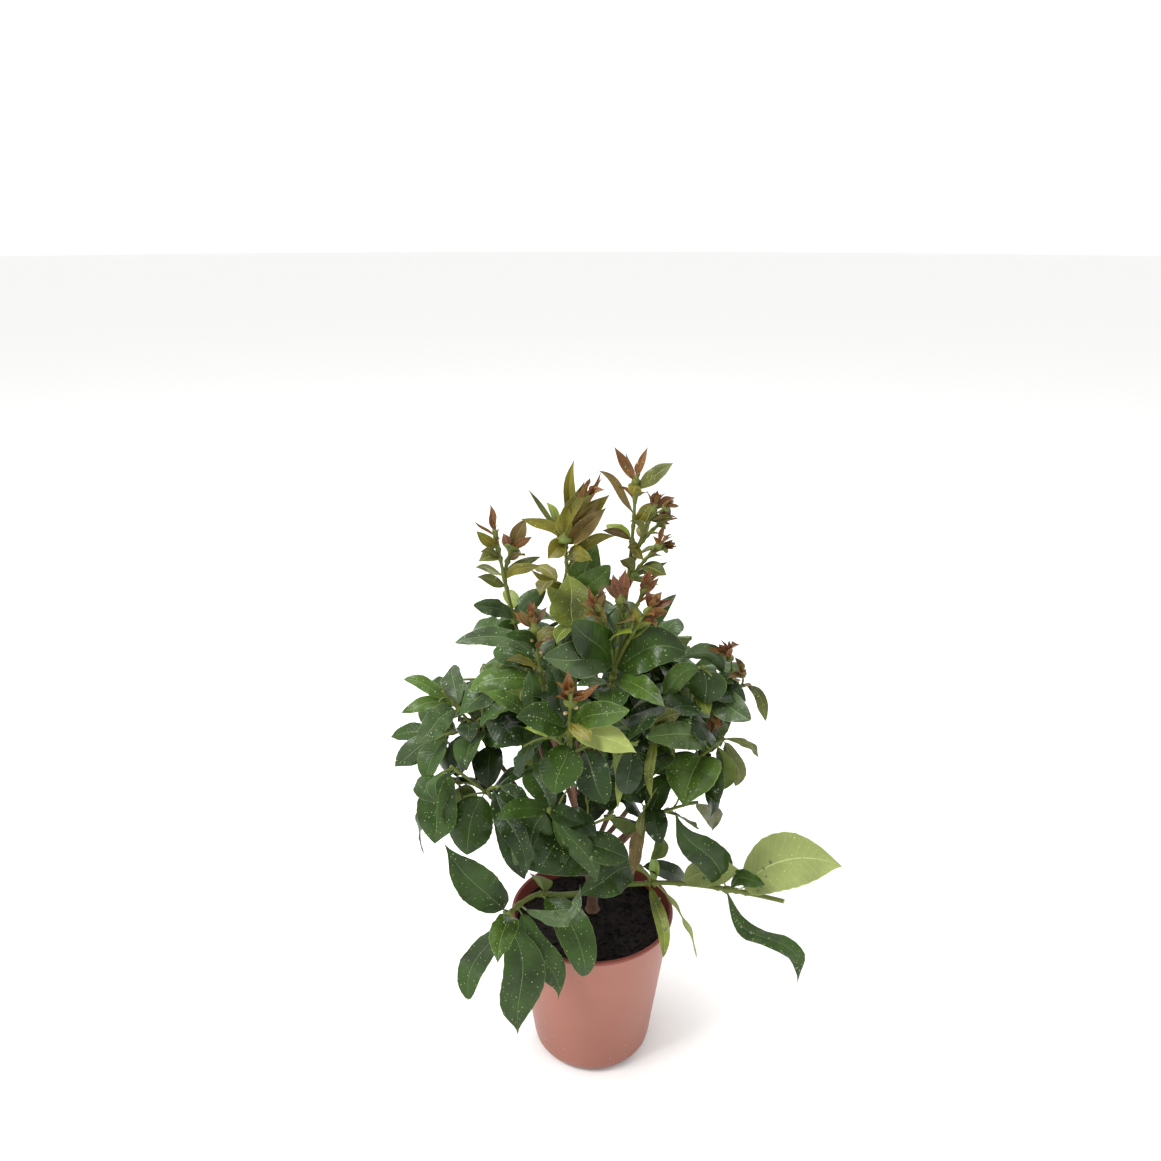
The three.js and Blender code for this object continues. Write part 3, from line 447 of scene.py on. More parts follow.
# Trunk and boughs: a short woody trunk that forks low down, with seventeen boughs that each start inside
# the wood they grow from. The bark is reddish brown, finely cracked on the trunk and smoother on the
# boughs. The two low shoots are green and a little stouter.
TRUNK_FOOT = (0, 12, 120.3)
TRUNK_BEND = (2, 10, 150)
TRUNK_TOP = (-7, 6, 184)
TRUNK_RADII = (4.4, 3.6)
TRUNK_STEP = 8
FLARE = 1.7
FLARE_FADE = 0.9
BOUGH_RADII = (2.5, 1.7)
BOUGH_RING_STEP = 32
LIMB_STEP = 1.6
TRUNK_SIDES = 28
BOUGH_SIDES = 12
FOOT_CUT = SOIL_TOP + SOIL_GAP
BARK_RED = (104, 62, 46)
BARK_GREY = (124, 104, 88)
BARK_GREEN = (112, 130, 60)
BARK_OLIVE = (92, 100, 48)
SHOOT_STOUTER = 1.2
LAST_START = 0.985
COLLAR = 0.35
COLLAR_REACH = 3
BARK_RELIEF = 0.0007
TRUNK_CRACKS = 0.13
BOUGH_CRACKS = 0.08
SHOOT_CRACKS = 0.03
BOUGHS = [
    # name, what it grows from, how far along, where its tip is, how far it sags
    ("leader", "trunk", 1, (-14, 8, 322), 4),
    ("bough_top_right", "leader", 0.55, (14, 2, 352), 10),
    ("bough_top_left", "leader", 0.4, (-46, -6, 345), 12),
    ("bough_bronze", "leader", 0.3, (12, -26, 345), 12),
    ("bough_upper_left", "leader", 0.2, (-33, -44, 340), 14),
    ("bough_left", "trunk", 0.96, (-80, 4, 280), 18),
    ("bough_left_low", "trunk", 0.9, (-74, -22, 250), 16),
    ("bough_front", "trunk", 0.95, (-16, -70, 312), 22),
    ("bough_front_low", "trunk", 0.86, (-16, -46, 226), 8),
    ("bough_right", "trunk", 0.96, (66, 2, 300), 18),
    ("bough_right_mid", "trunk", 0.88, (60, -14, 262), 14),
    ("bough_right_low", "trunk", 0.8, (36, -26, 234), 8),
    ("bough_back_left", "trunk", 0.9, (-52, 62, 276), 16),
    ("bough_back_right", "trunk", 0.9, (46, 66, 280), 16),
    ("bough_back_low", "trunk", 0.8, (2, 66, 232), 10),
    ("shoot_low_right", "trunk", 0.55, (44, -9, 167), 3),
    ("shoot_low_left", "trunk", 0.4, (-37, -28, 170), 5),
]


def unit(way):
    return way / np.linalg.norm(way)


class Limb:
    """A curve with a point and a radius at each of its rings"""

    def __init__(self, start, control, tip, radii, step, mass=None):
        self.curve = [np.array(point, float) for point in (start, control, tip)]
        self.span = np.linalg.norm(self.curve[2] - self.curve[0])
        count = max(3, math.floor(self.span / step + 0.5))
        self.points = np.array([self.at(i / count) for i in range(count + 1)])
        self.radii = np.linspace(*radii, count + 1)
        self.mass = mass

    def at(self, share):
        start, control, tip = self.curve
        return (1 - share) ** 2 * start + 2 * (1 - share) * share * control + share ** 2 * tip

    def way(self, share, step=0.0001):
        return unit(self.at(min(share + step, 1)) - self.at(max(share - step, 0)))


def tube(points, radii, sides, relief=None):
    """Points and faces of a closed round skin along a line"""
    ways = np.gradient(points, axis=0)
    across = np.array([1.0, 0.01, 0.0])
    turns = np.linspace(0, 2 * math.pi, sides, endpoint=False)
    rings = []
    for middle, way, radius in zip(points, ways, radii):
        way = unit(way)
        across = unit(across - way * across.dot(way))
        ring = np.outer(np.cos(turns), across) + np.outer(np.sin(turns), np.cross(way, across))
        spread = np.full(sides, radius)
        if relief:
            spread = radius * np.array([relief(middle + radius * out) for out in ring])
        rings.append(middle + ring * spread[:, None])
    faces = [list(range(sides))[::-1]]
    for r in range(len(rings) - 1):
        for i in range(sides):
            j = (i + 1) % sides
            faces.append([r * sides + i, r * sides + j, (r + 1) * sides + j, (r + 1) * sides + i])
    faces.append([(len(rings) - 1) * sides + i for i in range(sides)])
    return np.concatenate(rings), faces


def bark_relief(depth):
    """Cracks that run along the limb, with a few broad swellings"""
    def relief(point):
        cracks = noise.fractal(Vector(point * (0.9, 0.9, 0.22)), 0.9, 2.2, 4)
        swelling = noise.noise(Vector(point) * 0.09)
        return 1 + depth * (cracks + 0.8 * swelling)
    return relief


def bark(name, first, second, roughness):
    """A finish for wood: two colours in patches, drawn out along the limbs, with fine cracks"""
    finish = Finish(name, {"Specular IOR Level": 0.25, "Roughness": roughness})
    stretched = finish.node("Mapping", inputs={"Vector": finish.place(), "Scale": (1.0, 1.0, 0.3)})
    sizes = {"Vector": stretched, "Scale": 420.0, "Detail": 6.0, "Roughness": 0.65}
    cracks = finish.node("TexNoise", inputs=sizes)
    patches = finish.grain(70.0)
    tone = finish.blend(cracks * patches * 2, paint(*first), paint(*second))
    finish.feed(finish.sockets["Base Color"], tone)
    finish.relief(cracks, BARK_RELIEF)
    return finish


def fine_line(limb, sunk=0.0):
    """Close points along a limb, and its radii there, with the start sunk into what carries it"""
    count = max(6, math.ceil(limb.span / LIMB_STEP))
    shares = np.linspace(0, 1, count + 1)
    line = np.array([limb.at(share) for share in shares])
    radii = np.interp(shares, np.linspace(0, 1, len(limb.radii)), limb.radii)
    if sunk:
        line = np.concatenate([[line[0] - limb.way(0) * sunk], line])
        radii = np.concatenate([[radii[0]], radii])
    return line, radii


trunk = Limb(TRUNK_FOOT, TRUNK_BEND, TRUNK_TOP, TRUNK_RADII, TRUNK_STEP)
trunk_rings = np.arange(len(trunk.radii))
trunk.radii = trunk.radii * (1 + (FLARE - 1) * np.exp(-trunk_rings * FLARE_FADE))
limbs = {"trunk": trunk}
for name, parent_name, share, tip, sag in BOUGHS:
    start = limbs[parent_name].at(min(share, LAST_START))
    middle = (start + np.array(tip, float)) / 2 - np.array([0, 0, sag])
    limbs[name] = Limb(start, middle, tip, BOUGH_RADII, BOUGH_RING_STEP)

red_bark = bark("red_bark", BARK_RED, BARK_GREY, 0.82)
green_bark = bark("green_bark", BARK_GREEN, BARK_OLIVE, 0.6)
line, radii = fine_line(trunk)
points, faces = tube(line, radii, TRUNK_SIDES, bark_relief(TRUNK_CRACKS))
points[:, 2] = np.maximum(points[:, 2], FOOT_CUT)
trunk_piece = add_piece("trunk_bark", points, faces, [red_bark])
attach(trunk_piece, "root")
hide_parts("trunk")
for name, limb in limbs.items():
    if name == "trunk":
        continue
    is_shoot = "shoot" in name
    line, radii = fine_line(limb)
    collar = 1 + COLLAR * np.exp(-np.arange(len(radii)) * LIMB_STEP / COLLAR_REACH)
    if is_shoot:
        radii = radii * SHOOT_STOUTER
    cracks = bark_relief(SHOOT_CRACKS if is_shoot else BOUGH_CRACKS)
    points, faces = tube(line, radii * collar, BOUGH_SIDES, cracks)
    bough_piece = add_piece(f"{name}_bark", points, faces, [green_bark if is_shoot else red_bark])
    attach(bough_piece, "root")
    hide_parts(name)

# Foliage: green shoots that carry on from each bough's tip and branch, with leaves set in a spiral round
# them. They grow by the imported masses' own rule, which stands here with the shoots and leaves that it
# starts from.
TWIG_RADII = (1.35, 1.1)
TWIG_STEP = 22
TWIG_BEND = 0.4
JOIN_GAP = 0.3
MATURE_WIDTH = 0.54
YOUNG_WIDTH = 0.32
PETIOLE = 1 / 12
LEAF_THICKNESS = 0.014
LEAST_THICKNESS = 0.7
FOLD = 14
YOUNG_FOLD = 34
RIB_STEPS = 12
TEST_RINGS = (1, 4, 7, 10, 12)
LEAF_ROOM = 0.75
EDGE_ROOM = 0.4
LIMB_ROOM = 0.5
POT_ROOM = 4
GROUND_ROOM = 20
LEAF_REACH = 0.56
WOOD_NEAR = 30
SHEET_FROM = 4
FIRST_LEAF = 0.12
SPIRAL = 135
LEAST_LENGTH = 0.82
LENGTH_SPREAD = 0.26
YOUNG_SHORTER = 0.55
TILT_SPREAD = 14
ROLL_SPREAD = 30
YOUNG_DROOP = 14
OLD_DROOP = 44
OLD_HANG = 26
OLD_FORWARD = 0.42
YOUNG_FORWARD = 1.32
TRIES = [
    # swing round the shoot, drop, scale
    (0, 0, 1),
    (28, 0, 1),
    (-28, 0, 1),
    (0, -25, 0.95),
    (50, 10, 0.9),
    (-50, 10, 0.9),
    (15, 30, 0.85),
    (-20, -40, 0.85),
]


def note(paint, wide=None, droop=None, **more):
    """What was read off the photograph about a leaf that it shows clearly

    paint: its colours; wide: its width across the middle, in the photograph's pixels; droop: how far it
    bends down; seen: where its tip shows, in pixels; behind or depth: the y of that tip, from the leaf's
    base or in the plant; askew: its roll from facing the camera; under: its underside shows; at: another
    place on the shoot; broad: its width over its length. Anything else shapes its blade.
    """
    given = {"paint": paint, "wide": wide, "droop": droop}
    return {**{key: value for key, value in given.items() if value is not None}, **more}


# shoots: grows from, how far along, tip, seeded leaves, longest leaf, youth, turn
# leaves: shoot, how far along, tip, droop, roll, twist, youth, note
# close, on the visual model alone: shoot, how far along, youth, note
# stars, which are tufts: shoot, how far along, where the stem's tip shows, how far behind, longest leaf
MASSES = [
    {
        "name": "foliage_top_right", "bough": "bough_top_right", "reach": 70,
        "shoots": [
            (-1, 1, (31, 0, 520), 5, 34, 0.7, 20),
            (0, 0.56, (46, -5, 500), 6, 30, 1, 80),
            (0, 0.52, (50, -20, 474), 6, 30, 1, 10),
            (1, 0.5, (52, 2, 484), 4, 26, 1, 50),
        ],
        "leaves": [
            (0, 0.97, (14, 4, 540), 10, 0, 0, 0.8, note("bronze", 11, 8, point=0.5)),
            (0, 0.98, (39, 2, 542), 10, 0, 0, 1, note("bronze", 8, 8)),
            (0, 0.94, (57, -5, 531), 25, -20, 0, 0.4, note("moss", 16, 15, askew=25)),
            (0, 0.87, (42, -15, 501), 50, 0, 0, 0.5,
             note("olive", 14, 20, seen=(652, 502), behind=-6, at=0.8)),
            (0, 0.84, (3, 10, 521), 40, 30, 0, 0.5, note("umber", 9, 45)),
            (0, 0.72, (35, -20, 464), 40, 0, 0, 0.5, note("olive", 11, 40, seen=(641, 560), behind=-10)),
        ],
        "close": [
            (0, 0.99, 1, note("bronze", 3, 5, seen=(624, 450), behind=2)),
            (0, 0.97, 0.6, note("olive", 15, 40, seen=(631, 494), behind=-9, point=0.0, belly=1.0)),
            (0, 0.74, 0.7, note("umber", 10, 20, seen=(601, 531), behind=-6)),
            (1, 0.8, 0.8, note("olive", 8, 20, seen=(672, 518), behind=-4)),
            (2, 0.3, 0.7, note("moss", 8, 20, seen=(666, 562), behind=-4)),
            (1, 0.5, 0.6, note("olive", 10, 40, seen=(626, 548), behind=-12)),
            (0, 0.42, 0.5, note("moss", 13, 50, seen=(597, 575), behind=-10)),
        ],
        "stars": [
            (0, 1, None, 0, 15),
            (1, 1, None, 0, 19),
            (1, 0.8, (666, 507), -4, 14),
            (2, 1, None, 0, 20),
            (3, 1, None, 0, 18),
            (2, 0.75, (665, 548), -4, 13),
        ],
    },
    {
        "name": "foliage_top_centre", "bough": "leader", "reach": 80,
        "shoots": [
            (-1, 1, (-22, -14, 480), 6, 46, 0.6, 40),
        ],
        "leaves": [
            (0, 0.98, (-14, -8, 534), 15, 0, 0, 1, note("olive", 15, 6, point=0.6)),
            (0, 0.9, (-28, -38, 508), 20, 0, 0, 0.8,
             note("olive", 15, 10, seen=(566, 503), behind=-10, at=0.96)),
            (0, 0.97, (12, -15, 510), 35, -20, 0, 0.6, note("olive", 17, 15, seen=(609, 494), behind=-4)),
            (0, 0.99, (4, -10, 527), 15, 0, 0, 1, note("bronze", 8, 8, seen=(599, 470))),
            (0, 0.95, (-6, -36, 520), 15, 0, 0, 1,
             note("olive", 17, 8, seen=(583, 482), behind=-14, at=0.98)),
            (0, 0.78, (14, -34, 494), 15, -30, 0, 0.8,
             note("umber", 24, 24, seen=(603, 508), behind=-16, at=0.93, more_fold=14)),
            (0, 0.84, (-66, -36, 476), 80, 0, 0, 0.6,
             note("olive", 13, 45, seen=(518, 519), behind=-8, at=0.95)),
            (0, 0.74, (-50, 12, 510), 30, -19, 0, 0.6,
             note("moss", 5, 16, seen=(525, 488), behind=4, at=0.97)),
            (0, 0.82, (-30, -50, 462), 50, 0, 0, 0.6,
             note("olive", 24, 40, seen=(546, 560), behind=-18, at=0.94, more_fold=12)),
            (0, 0.66, (-13, -50, 430), 60, -10, 0, 0.2,
             note("lime", 46, 16, seen=(574, 628), behind=-14, at=0.82, fold=20, curl=0, turn=0,
                  point=0.2, belly=1.3)),
            (0, 0.6, (6, 14, 462), 30, 10, 0, 0, note("soft", 36, 24, seen=(594, 543), behind=6)),
        ],
        "close": [
            (0, 0.62, 0, note("soft", 28, 20, seen=(607, 566), behind=-16, askew=10)),
            (0, 0.66, 0, note("sage", 38, 80, seen=(617, 648), behind=-34, askew=10, fold=28)),
            (0, 0.7, 0.6, note("olive", 9, 30, seen=(530, 571), behind=-10)),
            (0, 0.98, 0.7, note("umber", 14, 10, seen=(598, 500), behind=-10)),
            (0, 0.86, 0.5, note("olive", 16, 70, seen=(589, 560), behind=-26)),
            (0, 0.97, 0.8, note("olive", 10, 10, seen=(556, 515), behind=-2)),
            (0, 0.9, 0.6, note("olive", 12, 40, seen=(612, 536), behind=-8)),
            (0, 0.97, 0.8, note("umber", 9, 10, seen=(601, 478), behind=-8)),
        ],
        "stars": [
            (0, 0.98, (587, 494), -12, 19),
        ],
    },
    {
        "name": "foliage_top_left", "bough": "bough_top_left", "reach": 70,
        "shoots": [
            (-1, 1, (-72, -30, 487), 3, 34, 0.7, 0),
            (0, 0.75, (-60, -16, 470), 3, 26, 0.9, 120),
        ],
        "leaves": [
            (0, 0.98, (-74, -32, 506), 5, 0, 0, 1, note("bronze", 9, 4)),
            (0, 0.96, (-86, -28, 495), 10, 60, 0, 1, note("bronze", 4, 10, seen=(472, 521))),
            (0, 0.9, (-84, -38, 486), 20, 20, 0, 0.6, note("olive", 13, 12, seen=(475, 531))),
            (0, 0.86, (-82, -44, 472), 40, 0, 0, 0.5, note("moss", 9, 20, seen=(480, 553))),
            (1, 0.98, (-49, -18, 491), 60, 10, 0, 0.6, note("umber", 17, 30, seen=(524, 519))),
            (0, 0.62, (-85, -35, 452), 20, 0, 0, 0.7, note("moss", 12, 20, seen=(476, 577), at=0.7)),
            (0, 0.68, (-88, -8, 458), 20, 20, 0, 0.7, note("moss", 8, 30, seen=(473, 568), at=0.76)),
            (0, 0.62, (-40, -20, 466), 50, 0, 0, 0.4, note("moss", 9, 30, seen=(539, 557), at=0.78)),
            (0, 0.46, (-42, -42, 450), 60, 0, 0, 0.5, note("olive", 13, 40, seen=(537, 567), at=0.74)),
            (0, 0.36, (-87, -46, 427), 50, 0, 0, 0, note("sage", 18, 50, seen=(474, 606), at=0.5, askew=-25)),
            (0, 0.32, (-58, 18, 436), 40, 0, 0, 0, note("sage", 20, 40, seen=(545, 590), behind=10, at=0.5)),
        ],
        "close": [
            (1, 0.85, 0.9, note("bronze", 9, 10, seen=(531, 537), behind=-4)),
            (1, 0.6, 0.8, note("umber", 8, 20, seen=(520, 553), behind=-10)),
            (0, 0.4, 0, note("mature", 20, 60, seen=(496, 631), behind=-14)),
        ],
        "stars": [
            (0, 1, None, 0, 13),
            (1, 1, None, 0, 11),
        ],
    },
    {
        "name": "foliage_bronze", "bough": "bough_bronze", "reach": 80,
        "shoots": [
            (-1, 1, (20, -35, 444), 5, 38, 1, 200),
            (0, 0.4, (40, -28, 446), 6, 34, 1, 30),
            (0, 0.35, (42, -50, 436), 6, 36, 1, 60),
            (0, 0.35, (2, -45, 436), 6, 38, 1, 100),
        ],
        "leaves": [
            (0, 0.38, (-32, -85, 412), 35, 10, 0, 0, note("sage", 38, askew=-25, point=0.3)),
            (0, 0.3, (-12, -72, 430), 30, 0, 0, 0, note("mature", 36, askew=-20)),
            (0, 0.34, (66, -54, 398), 45, 0, 0, 0,
             note("mature", 44, 50, seen=(682, 652), askew=10, point=0.1, fold=20)),
            (0, 0.28, (50, -78, 372), 30, 10, 0, 0, note("soft", 24, askew=20)),
            (0, 0.18, (14, -78, 366), 60, 0, 0, 0, note("mature", 34, askew=0)),
            (0, 0.36, (60, -8, 424), 40, 0, 0, 0, note("mature", 22, 40, seen=(675, 591), askew=10)),
        ],
        "close": [
            (0, 0.9, 0.9, note("ember", 12, 10, seen=(612, 574), behind=-6, point=0.6)),
            (0, 0.92, 0.9, note("ember", 13, 8, seen=(624, 570), behind=-4, point=0.6)),
            (0, 0.94, 0.9, note("ember", 10, 10, seen=(632, 577), behind=0)),
            (3, 0.8, 0.9, note("ember", 11, 14, seen=(587, 588), behind=-6)),
            (3, 0.86, 0.9, note("plum", 9, 10, seen=(599, 586), behind=-4)),
            (2, 0.9, 0.9, note("ember", 10, 10, seen=(673, 599), behind=-4)),
            (2, 0.8, 0.9, note("bronze", 9, 20, seen=(668, 612), behind=-8)),
            (1, 0.9, 1, note("ember", 8, 8, seen=(649, 568), behind=0)),
            (1, 0.86, 1, note("bronze", 8, 14, seen=(658, 577), behind=-2)),
        ],
        "stars": [
            (0, 1, None, 0, 17),
            (1, 1, None, 0, 17),
            (2, 1, None, 0, 18),
            (3, 1, None, 0, 16),
        ],
    },
    {
        "name": "foliage_upper_left", "bough": "bough_upper_left", "reach": 80,
        "shoots": [
            (-1, 1, (-43, -65, 434), 5, 36, 1, 300),
            (0, 0.3, (-64, -36, 388), 4, 56, 0.1, 60),
        ],
        "leaves": [
            (0, 0.66, (-99, -70, 416), 40, 0, 0, 0, note("sage", 20, 55, askew=-25, point=0.3, turn=0)),
            (0, 0.56, (-76, -38, 396), 40, 0, 0, 0, note("mature", 26, askew=-20)),
            (0, 0.44, (-92, -62, 374), 80, 0, 0, 0, note("soft", 26, askew=-20)),
            (0, 0.5, (-42, -98, 378), 60, 0, 0, 0),
            (0, 0.7, (-62, -88, 430), 40, 0, 0, 0.3, note("mature", 14)),
        ],
        "close": [
            (0, 0.9, 0.8, note("umber", 9, 14, seen=(518, 610), behind=-4)),
            (0, 0.94, 0.9, note("ember", 8, 8, seen=(528, 600), behind=-2)),
            (0, 0.9, 0.9, note("plum", 9, 14, seen=(545, 607), behind=0)),
        ],
        "stars": [
            (0, 1, None, 0, 18),
        ],
    },
    {
        "name": "foliage_front", "bough": "bough_front", "reach": 90,
        "shoots": [
            (-1, 1, (-15, -114, 398), 4, 44, 0.9, 45),
            (0, 0.25, (32, -84, 342), 4, 56, 0, 0),
            (0, 0.25, (-52, -78, 362), 4, 56, 0, 90),
        ],
        "leaves": [
            (0, 0.98, (-17, -120, 420), 10, 0, 0, 1,
             note("bronze", 13, 6, seen=(567, 670), at=0.86, point=0.9)),
            (0, 0.94, (6, -122, 410), 10, 0, 0, 1, note("bronze", 8, 8, seen=(599, 685), at=0.9)),
            (0, 0.6, (-30, -108, 414), 40, 0, 0, 0, note("deep", 25, 25)),
            (0, 0.55, (-51, -120, 380), 35, 0, 0, 0, note("mature", 34, seen=(520, 716), askew=-15)),
            (0, 0.55, (22, -128, 388), 40, 0, 0, 0, note("soft", 26, 45, seen=(626, 712), askew=20)),
            (0, 0.45, (31, -132, 358), 30, 110, 0, 0.2,
             note("lime", 27, 28, seen=(637, 753), depth=-124, at=0.5, under=True, turn=0,
                  curl=0.1, point=0.6)),
            (0, 0.4, (-26, -124, 326), 40, 0, 0, 0, note("mature", 42, turn=0, fold=10)),
            (1, 0.3, (9, -112, 310), 45, 0, 0, 0, note("deep", 38)),
            (1, 0.95, (24, -98, 308), 50, 0, 0, 0, note("deep", 28)),
            (1, 0.7, (20, -76, 280), 30, 60, 0, 0.7, note("fresh", 10, askew=20)),
            (2, 0.9, (-73, -96, 388), 35, 0, 0, 0, note("soft", 17, 50, askew=-15)),
        ],
        "close": [
            (0, 0.88, 0.8, note("olive", 10, 10, seen=(565, 690), behind=-4)),
            (0, 0.9, 0.9, note("bronze", 7, 14, seen=(585, 690), behind=-6)),
            (2, 0.75, 0, note("mature", 20, 30, seen=(528, 671), behind=10)),
        ],
        "stars": [
            (0, 1, None, 0, 14),
        ],
    },
    {
        "name": "foliage_front_low", "bough": "bough_front_low", "reach": 90,
        "shoots": [
            (-1, 1, (-34, -62, 274), 5, 54, 0, 120),
            (0, 0.3, (18, -52, 262), 5, 54, 0, 150),
        ],
        "leaves": [
            (0, 0.4, (-55, -97, 240), 35, 0, 0, 0, note("deep", 40, seen=(540, 872), askew=0, point=0.1)),
            (0, 0.8, (-56, -98, 270), 30, 0, 0, 0, note("mature", 28, seen=(513, 866), behind=-6, askew=-10)),
            (0, 0.98, (-5, -96, 278), 30, 0, 0, 0, note("deep", 24, seen=(586, 825), askew=10)),
            (0, 0.9, (-50, -30, 296), 30, 0, 0, 0, note("mature", 30)),
            (0, 0.95, (-76, -86, 286), 40, 0, 0, 0, note("mature", 20, seen=(497, 818), askew=-20)),
            (1, 0.98, (34, -72, 236), 50, 0, 0, 0.2),
        ],
        "close": [
            (0, 1.0, 0,
             note("mature", 44, 36, seen=(524, 867), behind=-8, askew=0, belly=0.95, turn=0, point=0.3)),
            (0, 0.99, 0, note("mature", 26, 30, seen=(597, 882), behind=-6, askew=0, turn=0)),
            (0, 0.3, 0, note("mature", 34, 30, seen=(628, 858), behind=-14, askew=0, belly=1.1, turn=0)),
        ],
    },
    {
        "name": "foliage_left", "bough": "bough_left", "reach": 80,
        "shoots": [
            (-1, 1, (-120, -5, 345), 5, 44, 0.3, 75),
            (0, 0.4, (-130, -12, 304), 3, 46, 0.1, 15),
            (0, 0.3, (-112, 34, 334), 5, 50, 0.1, 160),
            (0, 0.2, (-84, -8, 356), 6, 50, 0.1, 240),
        ],
        "leaves": [
            (0, 0.85, (-152, 0, 353), 50, 10, 0, 0, note("soft", 15, 60, askew=-10)),
            (0, 0.8, (-154, -10, 328), 60, 0, 0, 0.2, note("soft", 14, 70, askew=-15)),
            (0, 0.75, (-137, -36, 316), 50, 0, 0, 0, note("sage", 26, askew=0)),
            (1, 0.8, (-168, 2, 300), 40, 0, 0, 0, note("mature", 18, askew=-20, point=1.0)),
            (1, 0.9, (-159, -18, 284), 40, 0, 0, 0, note("sage", 24, askew=-5)),
            (1, 0.7, (-134, -36, 282), 40, 0, 0, 0),
            (0, 0.5, (-110, -54, 296), 60, 0, 0, 0),
            (0, 0.4, (-100, -48, 300), 50, 0, 0, 0),
            (0, 0.75, (-118, 34, 350), 50, 0, 0, 0, note("sage", 24, askew=30)),
        ],
    },
    {
        "name": "foliage_left_low", "bough": "bough_left_low", "reach": 90,
        "shoots": [
            (-1, 1, (-112, -34, 294), 3, 54, 0, 20),
            (0, 0.3, (-72, -54, 288), 3, 54, 0, 140),
        ],
        "leaves": [
            (0, 0.98, (-124, -54, 235), 30, 10, 0, 0,
             note("mature", 42, askew=0, turn=0, curl=0.1, point=0.5)),
            (0, 0.4, (-97, -50, 224), 40, 0, 0, 0, note("mature", 46, seen=(467, 857), askew=0, turn=0)),
            (0, 0.9, (-149, -4, 186), 50, 60, 0, 0, note("deep", broad=0.13, turn=0)),
            (1, 0.98, (-48, -88, 288), 60, 0, 0, 0),
            (1, 0.7, (-54, -92, 244), 40, 0, 0, 0, note("deep", 26, seen=(524, 876))),
            (1, 0.4, (-52, -64, 208), 40, 0, 0, 0, note("deep", 30)),
        ],
        "close": [
            (1, 0.95, 0, note("deep", 24, 20, seen=(525, 807), behind=-10, askew=10)),
        ],
    },
    {
        "name": "foliage_right", "bough": "bough_right", "reach": 80,
        "shoots": [
            (-1, 1, (110, -5, 366), 5, 26, 1, 10),
            (0, 0.6, (120, -6, 352), 4, 24, 0.9, 100),
            (0, 0.3, (84, -22, 376), 3, 50, 0.1, 170),
            (0, 0.2, (84, 34, 348), 6, 54, 0.1, 250),
        ],
        "leaves": [
            (2, 0.98, (62, -28, 388), 60, 0, 0, 0, note("soft", 22, 50, seen=(663, 696), askew=10)),
            (2, 0.9, (86, -56, 356), 50, 0, 0, 0,
             note("mature", 40, seen=(702, 704), behind=-6, at=0.98, askew=0, fold=8, belly=0.8)),
            (0, 0.66, (108, -44, 336), 40, 0, 0, 0, note("sage", 32, seen=(748, 719), askew=0, point=0.1)),
            (1, 0.98, (135, -18, 324), 120, 0, 0, 0, note("moss", 12, seen=(764, 719), askew=0, turn=0)),
            (2, 0.5, (70, -44, 366), 40, 0, 0, 0,
             note("fresh", 17, 40, seen=(707, 712), behind=-20, at=0.5, curl=0.9)),
        ],
        "close": [
            (0, 0.88, 0,
             note("sage", 18, 110, seen=(678, 659), behind=-24, askew=10, curl=0, turn=0, point=0.2)),
        ],
        "stars": [
            (0, 0.97, (728, 657), -4, 27),
            (1, 0.9, (741, 674), -6, 19),
            (0, 0.5, (714, 716), -14, 18),
        ],
    },
    {
        "name": "foliage_right_mid", "bough": "bough_right_mid", "reach": 90,
        "shoots": [
            (-1, 1, (104, -18, 312), 4, 50, 0, 60),
            (0, 0.2, (42, -50, 340), 4, 50, 0.1, 150),
        ],
        "leaves": [
            (0, 0.8, (46, -72, 340), 30, 0, 0, 0, note("soft", 30, 40, seen=(660, 736), askew=-20)),
            (0, 0.75, (78, -66, 272), 40, 0, 0, 0,
             note("soft", 64, seen=(684, 807), at=0.72, askew=-18, fold=34, turn=0, curl=0,
                  point=0.7, belly=0.6)),
            (0, 0.66, (97, -44, 268), 40, 0, 0, 0.1, note("mature", 24)),
            (0, 0.9, (102, -18, 264), 40, 0, 0, 0),
            (0, 0.96, (118, -14, 262), 50, 20, 0, 0, note("moss", 17, 70, seen=(737, 789), curl=0.6)),
            (0, 0.98, (138, -2, 280), 50, 30, 0, 0.2, note("moss", 8, askew=20, point=1.0)),
            (1, 0.98, (62, -48, 358), 30, 0, 0, 0.2, note("moss", 19, seen=(680, 713), askew=10)),
            (1, 0.9, (43, -88, 300), 50, 50, 0, 0.2, note("lime", 11, askew=0, curl=0)),
            (1, 0.5, (28, -66, 296), 50, 0, 0, 0),
        ],
    },
    {
        "name": "foliage_right_low", "bough": "bough_right_low", "reach": 90,
        "shoots": [
            (-1, 1, (84, -32, 262), 5, 54, 0, 90),
            (0, 0.1, (40, -48, 268), 3, 54, 0, 210),
        ],
        "leaves": [
            (0, 0.95, (102, 0, 210), 40, 30, 0, 0, note("moss", 20, point=0.9)),
            (0, 0.3, (56, -30, 208), 50, 20, 0, 0),
            (1, 0.9, (38, -52, 244), 50, 40, 0, 0.2, note("moss", broad=0.3)),
            (0, 0.3, (32, -52, 208), 40, 40, 0, 0.3, note("umber", broad=0.27)),
        ],
    },
    {
        "name": "foliage_back_left", "bough": "bough_back_left", "reach": 90,
        "shoots": [
            (-1, 1, (-76, 104, 350), 8, 62, 0.3, 0),
            (0, 0.4, (-118, 76, 316), 7, 60, 0, 90),
            (0, 0.35, (-40, 118, 326), 7, 60, 0, 150),
            (0, 0.3, (-50, 74, 366), 7, 58, 0.2, 200),
        ],
        "leaves": [],
    },
    {
        "name": "foliage_back_right", "bough": "bough_back_right", "reach": 90,
        "shoots": [
            (-1, 1, (66, 108, 350), 8, 62, 0.3, 30),
            (0, 0.4, (108, 78, 314), 7, 60, 0, 120),
